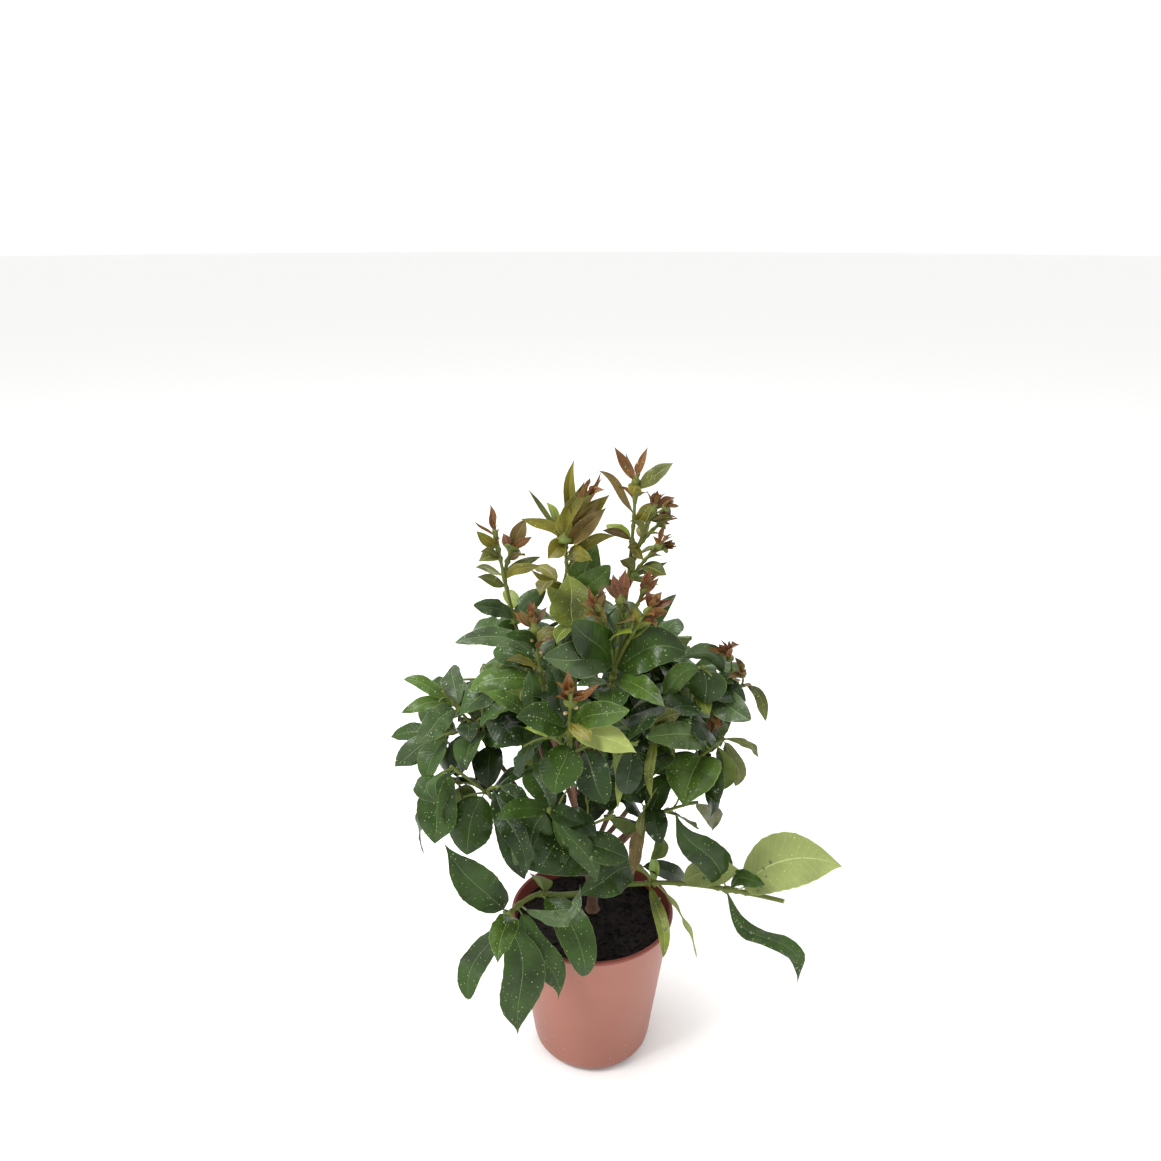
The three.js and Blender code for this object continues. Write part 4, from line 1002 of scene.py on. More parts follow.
            (0, 0.35, (30, 122, 326), 7, 60, 0, 180),
            (0, 0.3, (42, 70, 370), 7, 58, 0.2, 230),
        ],
        "leaves": [],
    },
    {
        "name": "foliage_back_low", "bough": "bough_back_low", "reach": 90,
        "shoots": [
            (-1, 1, (4, 112, 288), 7, 62, 0, 60),
            (0, 0.4, (-46, 98, 262), 6, 62, 0, 150),
            (0, 0.4, (52, 100, 260), 6, 62, 0, 240),
        ],
        "leaves": [],
    },
    {
        "name": "foliage_low_right", "bough": "shoot_low_right", "reach": 115,
        "shoots": [
            (-1, 1, (156, -40, 174), 0, 60, 0, 0),
            (0, 0.05, (36, -15, 190), 0, 60, 0, 0),
        ],
        "leaves": [
            (0, 0.72, (199, -50, 212), 25, 130, 0, 0,
             note("pale", 58, seen=(844, 864), askew=8, under=True, point=0.7, curl=0.3, turn=-14,
                  fold=6, belly=0.9, bow=0.11)),
            (0, 0.32, (121, -32, 197), 25, 130, 0, 0,
             note("pale", 30, askew=14, under=True, turn=0, fold=10)),
            (0, 0.56, (68, 18, 226), 20, -60, 60, 0.2,
             note("mature", 36, 20, seen=(675, 808), depth=-30, at=0.66, twist=20, askew=0,
                  belly=0.6, point=1.8, sway=0.05, curl=0.6)),
            (0, 0.68, (134, -62, 206), 40, 0, 0, 0, note("mature", 18, 60, seen=(763, 884))),
            (0, 0.78, (158, 6, 210), 30, 0, 0, 0, note("deep", 24, 50, seen=(784, 836), askew=0)),
            (0, 0.6, (170, -50, 92), 40, -60, 50, 0,
             note("mature", 20, 54, at=0.6, twist=30, askew=0, sway=0.1, point=1.2, turn=0, curl=0,
                  belly=1.1)),
            (1, 0.9, (90, 5, 172), 40, 0, 0, 0, note("deep", 20, seen=(690, 878), askew=10)),
            (0, 0.04, (58, -62, 134), 60, 60, 0, 0.2, note("lime", 15, turn=0, curl=0.2, fold=30)),
            (0, 0.1, (89, -52, 128), 60, 80, 0, 0.2, note("pale", broad=0.1, turn=0)),
            (1, 0.98, (-3, -72, 204), 30, 0, 0, 0,
             note("mature", 40, seen=(585, 893), depth=-66, askew=0, point=0.4, belly=0.9)),
        ],
        "close": [
            (1, 0.85, 0,
             note("mature", 46, 30, seen=(523, 868), depth=-56, askew=0, belly=1.15, turn=0,
                  curl=0, point=0.3)),
            (0, 0.1, 0.1, note("pale", 11, 20, seen=(652, 856), behind=-6, askew=0, turn=0)),
        ],
    },
    {
        "name": "foliage_low_left", "bough": "shoot_low_left", "reach": 115,
        "shoots": [
            (-1, 1, (-67, -75, 184), 0, 60, 0, 0),
        ],
        "leaves": [
            (0, 0.98, (-108, -88, 261), 15, 60, 0, 0,
             note("mature", 40, askew=-10, point=1.6, belly=0.8, turn=0, curl=0.6, bow=-0.08)),
            (0, 0.98, (-58, -104, 94), 35, 0, 0, 0,
             note("mature", 52, askew=10, point=1.4, fold=34, turn=0, curl=0)),
            (0, 0.97, (-68, -112, 174), 60, 0, 0, 0,
             note("soft", 30, 70, seen=(498, 963), depth=-128, turn=0, fold=30, point=0.6)),
            (0, 0.9, (-107, -62, 105), 50, 60, 0, 0,
             note("mature", 28, seen=(471, 995), askew=0, point=0.0, turn=0, belly=1.35, bow=-0.03)),
            (0, 0.5, (-25, -88, 110), 40, 0, 0, 0,
             note("mature", 36, seen=(561, 1006), depth=-92, at=0.78, askew=8, point=2.2, fold=24,
                  sway=0.05, belly=0.9)),
            (0, 0.2, (-2, -84, 131), 60, 0, 0, 0, note("mature", 36, askew=10, point=0.0)),
            (0, 0.3, (-8, -66, 202), -50, 0, 0, 0,
             note("sage", 20, -100, seen=(580, 884), depth=-104, at=0.72, askew=20, fold=40, curl=0, turn=0)),
            (0, 0.05, (-49, -45, 204), 20, 0, 0, 0.2),
        ],
    },
]


def seeded(seed):
    """A repeatable run of numbers between 0 and 1"""
    state = (seed * 2654435761) % 4294967296

    def draw():
        nonlocal state
        state = (state * 1664525 + 1013904223) % 4294967296
        return state / 4294967296
    return draw


def curl(leaf, shares):
    """Points, sideways axes and normals along the rib of a leaf, which bends down by its droop"""
    heading = math.radians(leaf["heading"])
    pitch = np.radians(leaf["lean"] + leaf["droop"] * (0.5 - shares))
    roll = np.radians(leaf["roll"] + leaf["twist"] * shares)[:, None]
    out = np.array([math.cos(heading), math.sin(heading), 0])
    sky = np.array([0, 0, 1.0])
    right = np.array([math.sin(heading), -math.cos(heading), 0])
    up = -np.sin(pitch)[:, None] * out + np.cos(pitch)[:, None] * sky
    across = right * np.cos(roll) + up * np.sin(roll)
    normal = up * np.cos(roll) - right * np.sin(roll)
    return pitch, out, sky, across, normal


def rib_line(leaf, steps):
    """Points along the rib of a leaf, a given number of equal steps from its base to its tip"""
    pitch, out, sky, _, _ = curl({**leaf, "roll": 0}, (np.arange(steps) + 0.5) / steps)
    ahead = np.cos(pitch)[:, None] * out + np.sin(pitch)[:, None] * sky
    return np.concatenate([[leaf["base"]], leaf["base"] + np.cumsum(ahead * leaf["length"] / steps, 0)])


def rib(leaf):
    """The thirteen stations of a leaf that the tests for touching use"""
    _, _, _, across, normal = curl(leaf, np.arange(RIB_STEPS + 1) / RIB_STEPS)
    return rib_line(leaf, RIB_STEPS), across, normal


def set_sizes(leaf):
    """Fold, width and thickness of a leaf from its length and youth"""
    leaf["fold"] = math.radians(FOLD + (YOUNG_FOLD - FOLD) * leaf["youth"])
    leaf["width"] = leaf["length"] * (MATURE_WIDTH + (YOUNG_WIDTH - MATURE_WIDTH) * leaf["youth"])
    leaf["thickness"] = max(LEAF_THICKNESS * leaf["length"], LEAST_THICKNESS)
    return leaf


def half_width(leaf, shares):
    """Half the width of a leaf at shares of its length, nothing along its stalk"""
    blade = np.clip((shares - PETIOLE) / (1 - PETIOLE), 0, 1)
    return leaf["width"] / 2 * np.sin(math.pi * blade ** 0.9).clip(0) ** 0.85


def aim(base, tip, droop):
    """Heading, lean and length of a leaf that runs from its base to a given tip"""
    way = np.array(tip, float) - base
    half = max(math.radians(abs(droop)) / 2, 1e-6)
    return {
        "heading": math.degrees(math.atan2(way[1], way[0])),
        "lean": math.degrees(math.atan2(way[2], math.hypot(way[0], way[1]))),
        "length": np.linalg.norm(way) * half / math.sin(half),
    }


class Touch:
    """Sheets and edges that stand for a leaf in the tests for touching"""

    def __init__(self, leaf):
        points, across, normal = rib(leaf)
        rows = np.array(TEST_RINGS)
        half = np.where(rows < RIB_STEPS, half_width(leaf, rows / RIB_STEPS), 0)
        margin = leaf["thickness"] / 2 + LEAF_ROOM
        lines = (points[rows], across[rows], normal[rows])
        grids = [
            self.grid(leaf, *lines, half + (EDGE_ROOM if lift else 0), lift)
            for lift in (-margin, 0, margin)
        ]
        self.sheets = np.array([self.triangles(grid) for grid in grids])
        grid = grids[1]
        edges = [(points[0], points[1])]
        for i in range(1, len(rows)):
            edges += [(grid[i - 1][k], grid[i][k]) for k in range(3)]
            if i < len(rows) - 1:
                edges += [(grid[i][0], grid[i][1]), (grid[i][1], grid[i][2])]
        self.edges = np.array(edges)
        self.middle = points[RIB_STEPS // 2]
        self.radius = leaf["length"] * LEAF_REACH

    @staticmethod
    def grid(leaf, middle, across, normal, half, lift):
        out = (half * math.cos(leaf["fold"]))[:, None]
        rise = (half * math.sin(leaf["fold"]))[:, None]
        middle = middle + normal * lift
        left = middle - across * out + normal * rise
        right = middle + across * out + normal * rise
        return np.stack([left, middle, right], 1)

    @staticmethod
    def triangles(grid):
        faces = []
        for i in range(len(grid) - 1):
            for side in range(2):
                a, b, c, d = grid[i][side], grid[i][side + 1], grid[i + 1][side + 1], grid[i + 1][side]
                faces += [(a, b, c), (a, c, d)]
        return faces


def crosses(edges, faces):
    """True where any of the edges passes through any of the triangles"""
    if not len(edges) or not len(faces):
        return False
    way = (edges[:, 1] - edges[:, 0])[:, None]
    ab = (faces[:, 1] - faces[:, 0])[None]
    ac = (faces[:, 2] - faces[:, 0])[None]
    s = edges[:, 0][:, None] - faces[:, 0][None]
    h = np.cross(way, ac)
    det = (ab * h).sum(-1)
    det = np.where(np.abs(det) < 1e-9, np.inf, det)
    u = (s * h).sum(-1) / det
    w = np.cross(s, ab)
    v = (way * w).sum(-1) / det
    t = (ac * w).sum(-1) / det
    inside = (u >= 0) & (u <= 1) & (v >= 0) & (u + v <= 1)
    return bool((inside & (t >= 0) & (t <= 1) & np.isfinite(det)).any())


def gaps(edges, others):
    """Least distances between each edge and each other one"""
    d1 = (edges[:, 1] - edges[:, 0])[:, None]
    d2 = (others[:, 1] - others[:, 0])[None]
    r = edges[:, 0][:, None] - others[:, 0][None]
    a = (d1 * d1).sum(-1) + 1e-12
    e = (d2 * d2).sum(-1) + 1e-12
    f = (d2 * r).sum(-1)
    c = (d1 * r).sum(-1)
    b = (d1 * d2).sum(-1)
    denom = a * e - b * b
    s = np.where(denom > 1e-9, ((b * f - c * e) / np.maximum(denom, 1e-12)).clip(0, 1), 0)
    t = (b * s + f) / e
    s = np.where(t < 0, (-c / a).clip(0, 1), np.where(t > 1, ((b - c) / a).clip(0, 1), s))
    t = t.clip(0, 1)
    near = edges[:, 0][:, None] + d1 * s[..., None]
    return np.linalg.norm(near - others[:, 0][None] - d2 * t[..., None], axis=-1)


class Wood:
    """The segments of every limb, with their radii, owners and masses"""

    def __init__(self):
        self.segments = np.zeros((0, 2, 3))
        self.radii = np.zeros(0)
        self.owners = []
        self.masses = []

    def add(self, limb):
        self.segments = np.concatenate([self.segments, np.stack([limb.points[:-1], limb.points[1:]], 1)])
        self.radii = np.concatenate([self.radii, limb.radii[1:]])
        self.owners += [id(limb)] * (len(limb.points) - 1)
        self.masses += [limb.mass] * (len(limb.points) - 1)


wood = Wood()
placed = []


def touch_if_clear(leaf, shoot):
    """The leaf's test body if it touches no leaf, limb, pot or ground, and otherwise None"""
    touch = Touch(leaf)
    ends = touch.edges[:, 1]
    low = (ends[:, 2] < POT_HEIGHT + POT_ROOM) & (np.hypot(ends[:, 0], ends[:, 1]) < RIM_RADIUS + POT_ROOM)
    if (low | (ends[:, 2] < GROUND_ROOM)).any():
        return None
    near = [other for other in placed
            if np.linalg.norm(touch.middle - other["touch"].middle) <= touch.radius + other["touch"].radius]
    own = [other["touch"] for other in near if other["shoot"] is shoot]
    strangers = [other["touch"] for other in near if other["shoot"] is not shoot]
    if strangers:
        if crosses(touch.edges, np.concatenate([t.sheets.reshape(-1, 3, 3) for t in strangers])):
            return None
        if crosses(np.concatenate([t.edges for t in strangers]), touch.sheets.reshape(-1, 3, 3)):
            return None
    if own:
        if crosses(touch.edges[SHEET_FROM:], np.concatenate([t.sheets[1][SHEET_FROM:] for t in own])):
            return None
        if crosses(np.concatenate([t.edges[SHEET_FROM:] for t in own]), touch.sheets[1][SHEET_FROM:]):
            return None
    chosen = np.linalg.norm(wood.segments[:, 0] - touch.middle, axis=1) <= touch.radius + WOOD_NEAR
    index = np.nonzero(chosen)[0]
    if len(index):
        if crosses(wood.segments[index], touch.sheets[1]):
            return None
        other_limb = np.array([wood.owners[k] != id(shoot) for k in index])
        stalk_counts = np.array([wood.masses[k] != shoot.mass for k in index])
        room = wood.radii[index] + leaf["thickness"] / 2 + LIMB_ROOM
        too_near = (gaps(touch.edges, wood.segments[index]) < room) & other_limb
        too_near[0] &= stalk_counts
        if too_near.any():
            return None
    return touch


def place(leaf, shoot):
    """Adds a leaf to those placed if it is clear of everything, and says whether it was added"""
    touch = touch_if_clear(set_sizes(leaf), shoot)
    if touch is None:
        return False
    placed.append({**leaf, "touch": touch, "shoot": shoot, "mass": shoot.mass, "looks": {}})
    return True


def within_reach(mass, point):
    """True where a point is no farther from the mass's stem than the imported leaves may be"""
    first, last = mass["stem"].points[0], mass["stem"].points[-1]
    line = last - first
    share = np.clip((point - first).dot(line) / line.dot(line), 0, 1)
    return np.linalg.norm(first + line * share - point) < mass["reach"]


def lerp(first, last, share):
    return first + (last - first) * share


def grow_leaves(mass, shoot, count, longest, youth, turn, tries, has_room=within_reach):
    """Leaves in a spiral up a shoot: older ones spread and hang, young ones stand up"""
    draw = seeded(turn + 1)
    grown = 0
    for i in range(count):
        share = (i + 0.5) / count
        at = FIRST_LEAF + (1 - FIRST_LEAF) * share
        young = max(0, youth * (0.35 + 0.75 * share) - 0.08)
        along = shoot.way(at)
        side = unit(np.array([-along[1], along[0], 0.001]))
        over = np.cross(along, side)
        length = longest * (1 - YOUNG_SHORTER * youth * share) * (LEAST_LENGTH + LENGTH_SPREAD * draw())
        tilt = TILT_SPREAD * (draw() - 0.5)
        droop = lerp(OLD_DROOP, YOUNG_DROOP, young) * (0.6 + 0.8 * draw())
        roll = ROLL_SPREAD * (draw() - 0.5)
        for swing, drop, scale in tries:
            a = math.radians(turn + SPIRAL * i + swing)
            out = side * math.cos(a) + over * math.sin(a) + along * lerp(OLD_FORWARD, YOUNG_FORWARD, young)
            out = unit(out)
            level = math.degrees(math.atan2(out[2], math.hypot(out[0], out[1])))
            leaf = {
                "base": shoot.at(at),
                "heading": math.degrees(math.atan2(out[1], out[0])),
                "lean": level - OLD_HANG * (1 - young) + tilt + drop,
                "length": length * scale,
                "droop": droop,
                "roll": roll,
                "twist": 0,
                "youth": young,
            }
            if has_room(mass, rib(leaf)[0][-1]) and place(leaf, shoot):
                grown += 1
                break
    return grown

# Noted leaves: the photograph's view as a pinhole at the camera's place, with the middle of the pot's
# underside where the photograph has it. Through it the note on a leaf gives the leaf its tip, its roll and
# its width.
PHOTO_MIDDLE = 580.5
PHOTO_FOCAL = 995.1
POT_FOOT_SEEN = (592.3, 1029.4)
FRONT = np.array(CAMERA_AT) * 1000
LEVEL = np.array([1.0, 0, 0])
FINE_STEPS = 24
ROLL_STEP = 10
DRAWN_WIDTH = 0.98
BROAD_LIMITS = (0.1, 1.05)
CLOSE_DROOP = 20

turn_across, turn_down = [math.atan((seen - PHOTO_MIDDLE) / PHOTO_FOCAL) for seen in POT_FOOT_SEEN]
to_foot = unit(-FRONT)
sight = math.cos(turn_down) * to_foot + math.sin(turn_down) * np.cross(LEVEL, to_foot)
photo_up = np.cross(LEVEL, sight)
sight = math.cos(turn_across) * sight - math.sin(turn_across) * LEVEL
photo_right = unit(np.cross(sight, photo_up))
photo_up = np.cross(photo_right, sight)


def on_photo(points):
    """Where points show in the photograph, in pixels to the right of its middle and up from it"""
    way = points - FRONT
    return PHOTO_FOCAL * np.stack([way @ photo_right, way @ photo_up], 1) / (way @ sight)[:, None]


def from_photo(seen, depth):
    """The point that shows at a pixel of the photograph and lies at a given y, to a whole millimetre"""
    across, down = (np.array(seen) - PHOTO_MIDDLE) / PHOTO_FOCAL
    way = sight + across * photo_right - down * photo_up
    return np.round(FRONT + way * (depth - FRONT[1]) / way[1])


def facing(leaf, roll):
    """How squarely the middle of a leaf rolled that far faces the camera, from 1 down to -1"""
    _, _, _, _, normal = curl({**leaf, "roll": roll}, np.array([0.5]))
    return normal[0] @ unit(FRONT - rib_line(leaf, FINE_STEPS)[FINE_STEPS // 2])


def width_seen(leaf):
    """How wide a leaf as broad as it is long shows in the photograph, in pixels across its length"""
    points = rib_line(leaf, FINE_STEPS)
    _, _, _, across, _ = curl(leaf, np.array([0.5]))
    edges = on_photo(points[FINE_STEPS // 2] + across * leaf["length"] / 2 * np.array([[-1], [1]]))
    first, last = on_photo(points[[FINE_STEPS // 4, 3 * FINE_STEPS // 4]])
    (x, y), (along_x, along_y) = edges[1] - edges[0], unit(last - first)
    return abs(x * along_y - y * along_x)


def read_leaf(shoot, share, row, notes):
    """A leaf as the notes on it say, and its looks; the row is how it would be without them"""
    leaf = {"base": shoot.at(notes.get("at", share)), **row}
    tip = leaf.pop("tip")
    leaf.update({key: notes[key] for key in ("droop", "twist") if key in notes})
    if "seen" in notes:
        if "behind" in notes:
            depth = leaf["base"][1] + notes["behind"]
        else:
            depth = notes["depth"] if "depth" in notes else tip[1]
        tip = from_photo(notes["seen"], depth)
    leaf.update(aim(leaf["base"], tip, leaf["droop"]))
    if "wide" in notes:
        side = -1 if "under" in notes else 1
        best = max(range(-180, 180, ROLL_STEP), key=lambda roll: side * facing(leaf, roll))
        leaf["roll"] = best + notes.get("askew", 0)
        leaf["roll"] -= 360 if leaf["roll"] > 180 else 0
        broad = notes["wide"] / max(width_seen(leaf), 1) / DRAWN_WIDTH
        notes = {**notes, "broad": round(float(np.clip(broad, *BROAD_LIMITS)), 2)}
    return leaf, notes


# Shoots and leaves as packed: shoots that branch from each bough's tip, the leaves of the table, and a
# spiral of seeded leaves round each shoot. A leaf that would touch another one, or wood, is turned aside or
# not grown.
for mass in MASSES:
    bough = limbs[mass["bough"]]
    mass["limbs"] = []
    for parent_index, share, tip, *_ in mass["shoots"]:
        is_stem = parent_index < 0
        parent = bough if is_stem else mass["limbs"][parent_index]
        start = bough.at(1) + bough.way(1) * JOIN_GAP if is_stem else parent.at(share)
        goal = np.array(tip, float)
        ahead = bough.way(1) if is_stem else unit(parent.way(share) + unit(goal - start))
        bend = start + ahead * TWIG_BEND * np.linalg.norm(goal - start)
        radii = (BOUGH_RADII[1] if is_stem else TWIG_RADII[0], TWIG_RADII[1])
        mass["limbs"].append(Limb(start, bend, goal, radii, TWIG_STEP, mass["name"]))
    mass["stem"] = mass["limbs"][0]
for limb in limbs.values():
    wood.add(limb)
for mass in MASSES:
    for shoot in mass["limbs"]:
        wood.add(shoot)
for mass in MASSES:
    for shoot_index, share, tip, droop, roll, twist, youth, *notes in mass["leaves"]:
        shoot = mass["limbs"][shoot_index]
        base = shoot.at(share)
        row = {"droop": droop, "roll": roll, "twist": twist, "youth": youth}
        if place({"base": base, **aim(base, tip, droop), **row}, shoot) and notes:
            shown, looks = read_leaf(shoot, share, {**row, "tip": tip}, notes[0])
            placed[-1].update({**shown, "looks": looks})
for mass in MASSES:
    for shoot, (_, _, _, count, longest, youth, turn) in zip(list(mass["limbs"]), mass["shoots"]):
        grow_leaves(mass, shoot, count, longest, youth, turn, TRIES)

# Side twigs: thinner green twigs with smaller leaves, which branch from each older shoot once more. They
# grow only where they find room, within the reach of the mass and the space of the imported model.
TWIG_EVERY = 17
BACK_TWIG_EVERY = 12
SIDE_TWIG = (13, 26)
SIDE_TWIG_RADII = (0.9, 0.7)
SIDE_TWIG_STEP = 8
SIDE_TWIG_BEND = 0.3
SIDE_SWINGS = (0, 60, -60, 120, 180)
SIDE_LEAVES = 3
SIDE_LEAF = 0.84
SIDE_FORWARD = 0.75
SIDE_FIRST = 0.08
SIDE_SPREAD = 0.88
SIDE_YOUNG_SHORTER = 0.4
SIDE_TURN = 137.5
SIDE_TURN_FROM = 70
SIDE_LEAF_TURN = 61
SIDE_LEAF_TURN_FROM = 7
SIDE_SEED = 1000
SIDE_SEED_STEP = 40
LEAST_GAP = 2.5
BOX_MARGIN = 1.5
YOUNG_SHOOT = 0.65
SIDE_TRIES = [
    # swing round the twig, drop, scale
    (0, 0, 1),
    (40, 0, 0.95),
    (-40, 0, 0.95),
    (80, -10, 0.85),
    (-80, -10, 0.85),
    (20, -35, 0.8),
    (-20, 25, 0.8),
]

low_corner = np.array(cad_box[0]) * 1000 + BOX_MARGIN
high_corner = np.array(cad_box[1]) * 1000 - BOX_MARGIN


def in_box(points):
    return bool(((points > low_corner) & (points < high_corner)).all())


def has_room(mass, tip):
    return in_box(tip) and within_reach(mass, tip)


def is_free(limb, parent):
    """True where a new side twig passes through no leaf and keeps off other limbs"""
    segments = np.stack([limb.points[:-1], limb.points[1:]], 1)
    near = [leaf["touch"].sheets[1] for leaf in placed
            if np.linalg.norm(leaf["touch"].middle - limb.points[1]) < leaf["touch"].radius + limb.span]
    if near and crosses(segments, np.concatenate(near)):
        return False
    index = [k for k, owner in enumerate(wood.owners) if owner != id(parent)]
    return gaps(segments[1:], wood.segments[index]).min() > LEAST_GAP


def grow_side_twig(mass, shoot, share, reach, turn, leaf_turn, longest, youth):
    """One side twig with its leaves, swung round the shoot until it finds room"""
    along = shoot.way(share)
    side = unit(np.array([-along[1], along[0], 0.001]))
    over = np.cross(along, side)
    start = shoot.at(share)
    for swing in SIDE_SWINGS:
        a = math.radians(turn + swing)
        out = unit(side * math.cos(a) + over * math.sin(a) + along * SIDE_FORWARD)
        tip = start + out * reach
        bend = start + (along + out) * reach * SIDE_TWIG_BEND
        twig = Limb(start, bend, tip, SIDE_TWIG_RADII, SIDE_TWIG_STEP, mass["name"])
        if not has_room(mass, tip) or not is_free(twig, shoot):
            continue
        longest_here = longest * SIDE_LEAF
        if grow_leaves(mass, twig, SIDE_LEAVES, longest_here, youth, leaf_turn, SIDE_TRIES, has_room):
            mass["limbs"].append(twig)
            wood.add(twig)
            return


for number, mass in enumerate(MASSES):
    every = BACK_TWIG_EVERY if "back" in mass["name"] else TWIG_EVERY
    for order, (shoot, row) in enumerate(zip(list(mass["limbs"]), mass["shoots"])):
        longest, youth, turn = row[4:]
        if youth > YOUNG_SHOOT or not row[3]:
            continue
        draw = seeded(SIDE_SEED + SIDE_SEED_STEP * number + order)
        count = round(shoot.span / every)
        for i in range(count):
            share = SIDE_FIRST + SIDE_SPREAD * (i + draw()) / count
            reach = lerp(*SIDE_TWIG, draw()) * (1 - SIDE_YOUNG_SHORTER * youth)
            twig_turn = turn + SIDE_TURN * i + SIDE_TURN_FROM
            leaf_turn = turn + SIDE_LEAF_TURN * i + SIDE_LEAF_TURN_FROM
            grow_side_twig(mass, shoot, share, reach, twig_turn, leaf_turn, longest, youth)

# Tufts: narrow young leaves that open like a rosette at the tips of the youngest shoots, the outer ones
# longer and more spread. Some stand on a short side stem of their own. The noted leaves that weren't packed
# join them.
STAR_LEAVES = 6
STAR_OPEN = (0.2, 0.85)
STAR_LENGTHS = (1, 0.55)
STAR_DROOP = 24
STAR_ROLL = 120
STAR_FOOT = 0.1
STAR_SEED = 5000


def open_star(mass, stem, longest, draw):
    """The leaves of one tuft round the tip of a stem"""
    way = stem.way(1)
    side = unit(np.cross(way, (0.4, 0.3, 0.9)))
    over = np.cross(way, side)
    for i in range(STAR_LEAVES):
        inner = i / (STAR_LEAVES - 1)
        turn = math.radians(SPIRAL * i) + 1.5 * draw()
        spread = lerp(STAR_OPEN[1], STAR_OPEN[0], inner) * (0.7 + 0.6 * draw())
        out = unit(way + spread * (side * math.cos(turn) + over * math.sin(turn)))
        leaf = set_sizes({
            "base": stem.at(1 - STAR_FOOT * (1 - inner)),
            "heading": math.degrees(math.atan2(out[1], out[0])),
            "lean": math.degrees(math.atan2(out[2], math.hypot(out[0], out[1]))),
            "length": longest * lerp(*STAR_LENGTHS, inner) * (0.8 + 0.4 * draw()),
            "droop": STAR_DROOP * draw() * (1 - inner),
            "roll": STAR_ROLL * (draw() - 0.5),
            "twist": 0,
            "youth": 1.0,
        })
        if in_box(rib(leaf)[0][-1]):
            placed.append({**leaf, "shoot": stem, "mass": mass["name"], "looks": {}})


for number, mass in enumerate(MASSES):
    draw = seeded(STAR_SEED + number)
    stars = []
    for shoot_index, share, seen, behind, longest in mass.get("stars", []):
        stem = mass["limbs"][shoot_index]
        if seen:
            start, ahead = stem.at(share), stem.way(share)
            goal = from_photo(seen, start[1] + behind)
            bend = start + unit(ahead + unit(goal - start)) * TWIG_BEND * np.linalg.norm(goal - start)
            stem = Limb(start, bend, goal, SIDE_TWIG_RADII, SIDE_TWIG_STEP, mass["name"])
            stars.append(stem)
        open_star(mass, stem, longest, draw)
    for shoot_index, share, youth, notes in mass.get("close", []):
        shoot = mass["limbs"][shoot_index]
        row = {"tip": None, "droop": CLOSE_DROOP, "roll": 0, "twist": 0, "youth": youth}
        shown, looks = read_leaf(shoot, share, row, notes)
        placed.append({**set_sizes(shown), "shoot": shoot, "mass": mass["name"], "looks": looks})
    mass["limbs"] += stars

# Open crown: the real crown shows sky in places, and its foremost leaves lie free. A mature leaf without a
# note is left out where, seen from the front, it would lie across such a gap or before the middle of a
# noted leaf.
SKY_GAPS = [
    # where the photograph shows sky through the crown, in pixels, and how far round it stays open, in mm
    (681, 838, 13),
    (697, 806, 8),
    (690, 628, 13),
    (706, 640, 8),
    (484, 650, 10),
    (456, 668, 6),
    (742, 734, 11),
    (411, 771, 8),
    (435, 699, 6),
    (510, 763, 6),
    (494, 757, 6),
    (643, 802, 6),
    (539, 590, 6),
    (730, 790, 8),
    (496, 800, 4),
    (740, 648, 6),
    (442, 669, 7),
    (500, 647, 4),
    (474, 656, 5),
    (739, 728, 4),
    (701, 805, 9),
    (672, 797, 9),
]
SHOWN_PART = 0.26
OFF_STALK = slice(3, None)
MIDDLE = slice(3, 11)
OUTER = slice(4, None)


def fills_a_gap(leaf):
    """True where a leaf lies across one of the gaps, on the upright plane through the pot's axis"""
    way = rib(leaf)[0][OUTER] - FRONT
    plane = FRONT - way * (FRONT[1] / way[:, 1:2])
    return any(np.linalg.norm(plane - middle, axis=1).min() < radius for middle, radius in open_sky)


def hides(leaf, kept):
    """True where a leaf lies in front of the middle of another one that faces the front"""
    near, far = rib(leaf)[0][OFF_STALK] - FRONT, rib(kept)[0][MIDDLE] - FRONT
    near_away, far_away = np.linalg.norm(near, axis=1), np.linalg.norm(far, axis=1)
    if near_away.mean() > far_away.mean():
        return False
    apart = np.linalg.norm((near / near_away[:, None])[:, None] - (far / far_away[:, None])[None], axis=2)
    return apart.min() * far_away.mean() < kept["looks"]["broad"] * kept["length"] * SHOWN_PART


def is_in_the_way(leaf):
    return fills_a_gap(leaf) or any(hides(leaf, kept) for kept in shown)


open_sky = [(from_photo((x, y), 0), radius) for x, y, radius in SKY_GAPS]
shown = [leaf for leaf in placed if "broad" in leaf["looks"]]
placed = [leaf for leaf in placed if leaf["looks"] or leaf["youth"] > 0.5 or not is_in_the_way(leaf)]

# Twigs: the green wood of the shoots, one joined piece for each mass. It swells a little where a leaf stalk
# leaves it and is stouter in the youngest shoots. The low right-hand shoot ends in a pale cut.
STALK_SWELL = 0.45
SWELL_REACH = 1.6
YOUNG_STOUTER = 0.3
STOUT_FROM = YOUNG_SHOOT - 0.1
SUNK = JOIN_GAP + 0.5
TWIG_SIDES = 8
TWIG_GREEN = (100, 118, 52)
TWIG_OLIVE = (98, 98, 46)
LOW_STOUTER = (1.2, 1.7)
CUT_OCHRE = (182, 158, 92)
CUT_LENGTH = 0.9
CUT_WIDER = 1.04

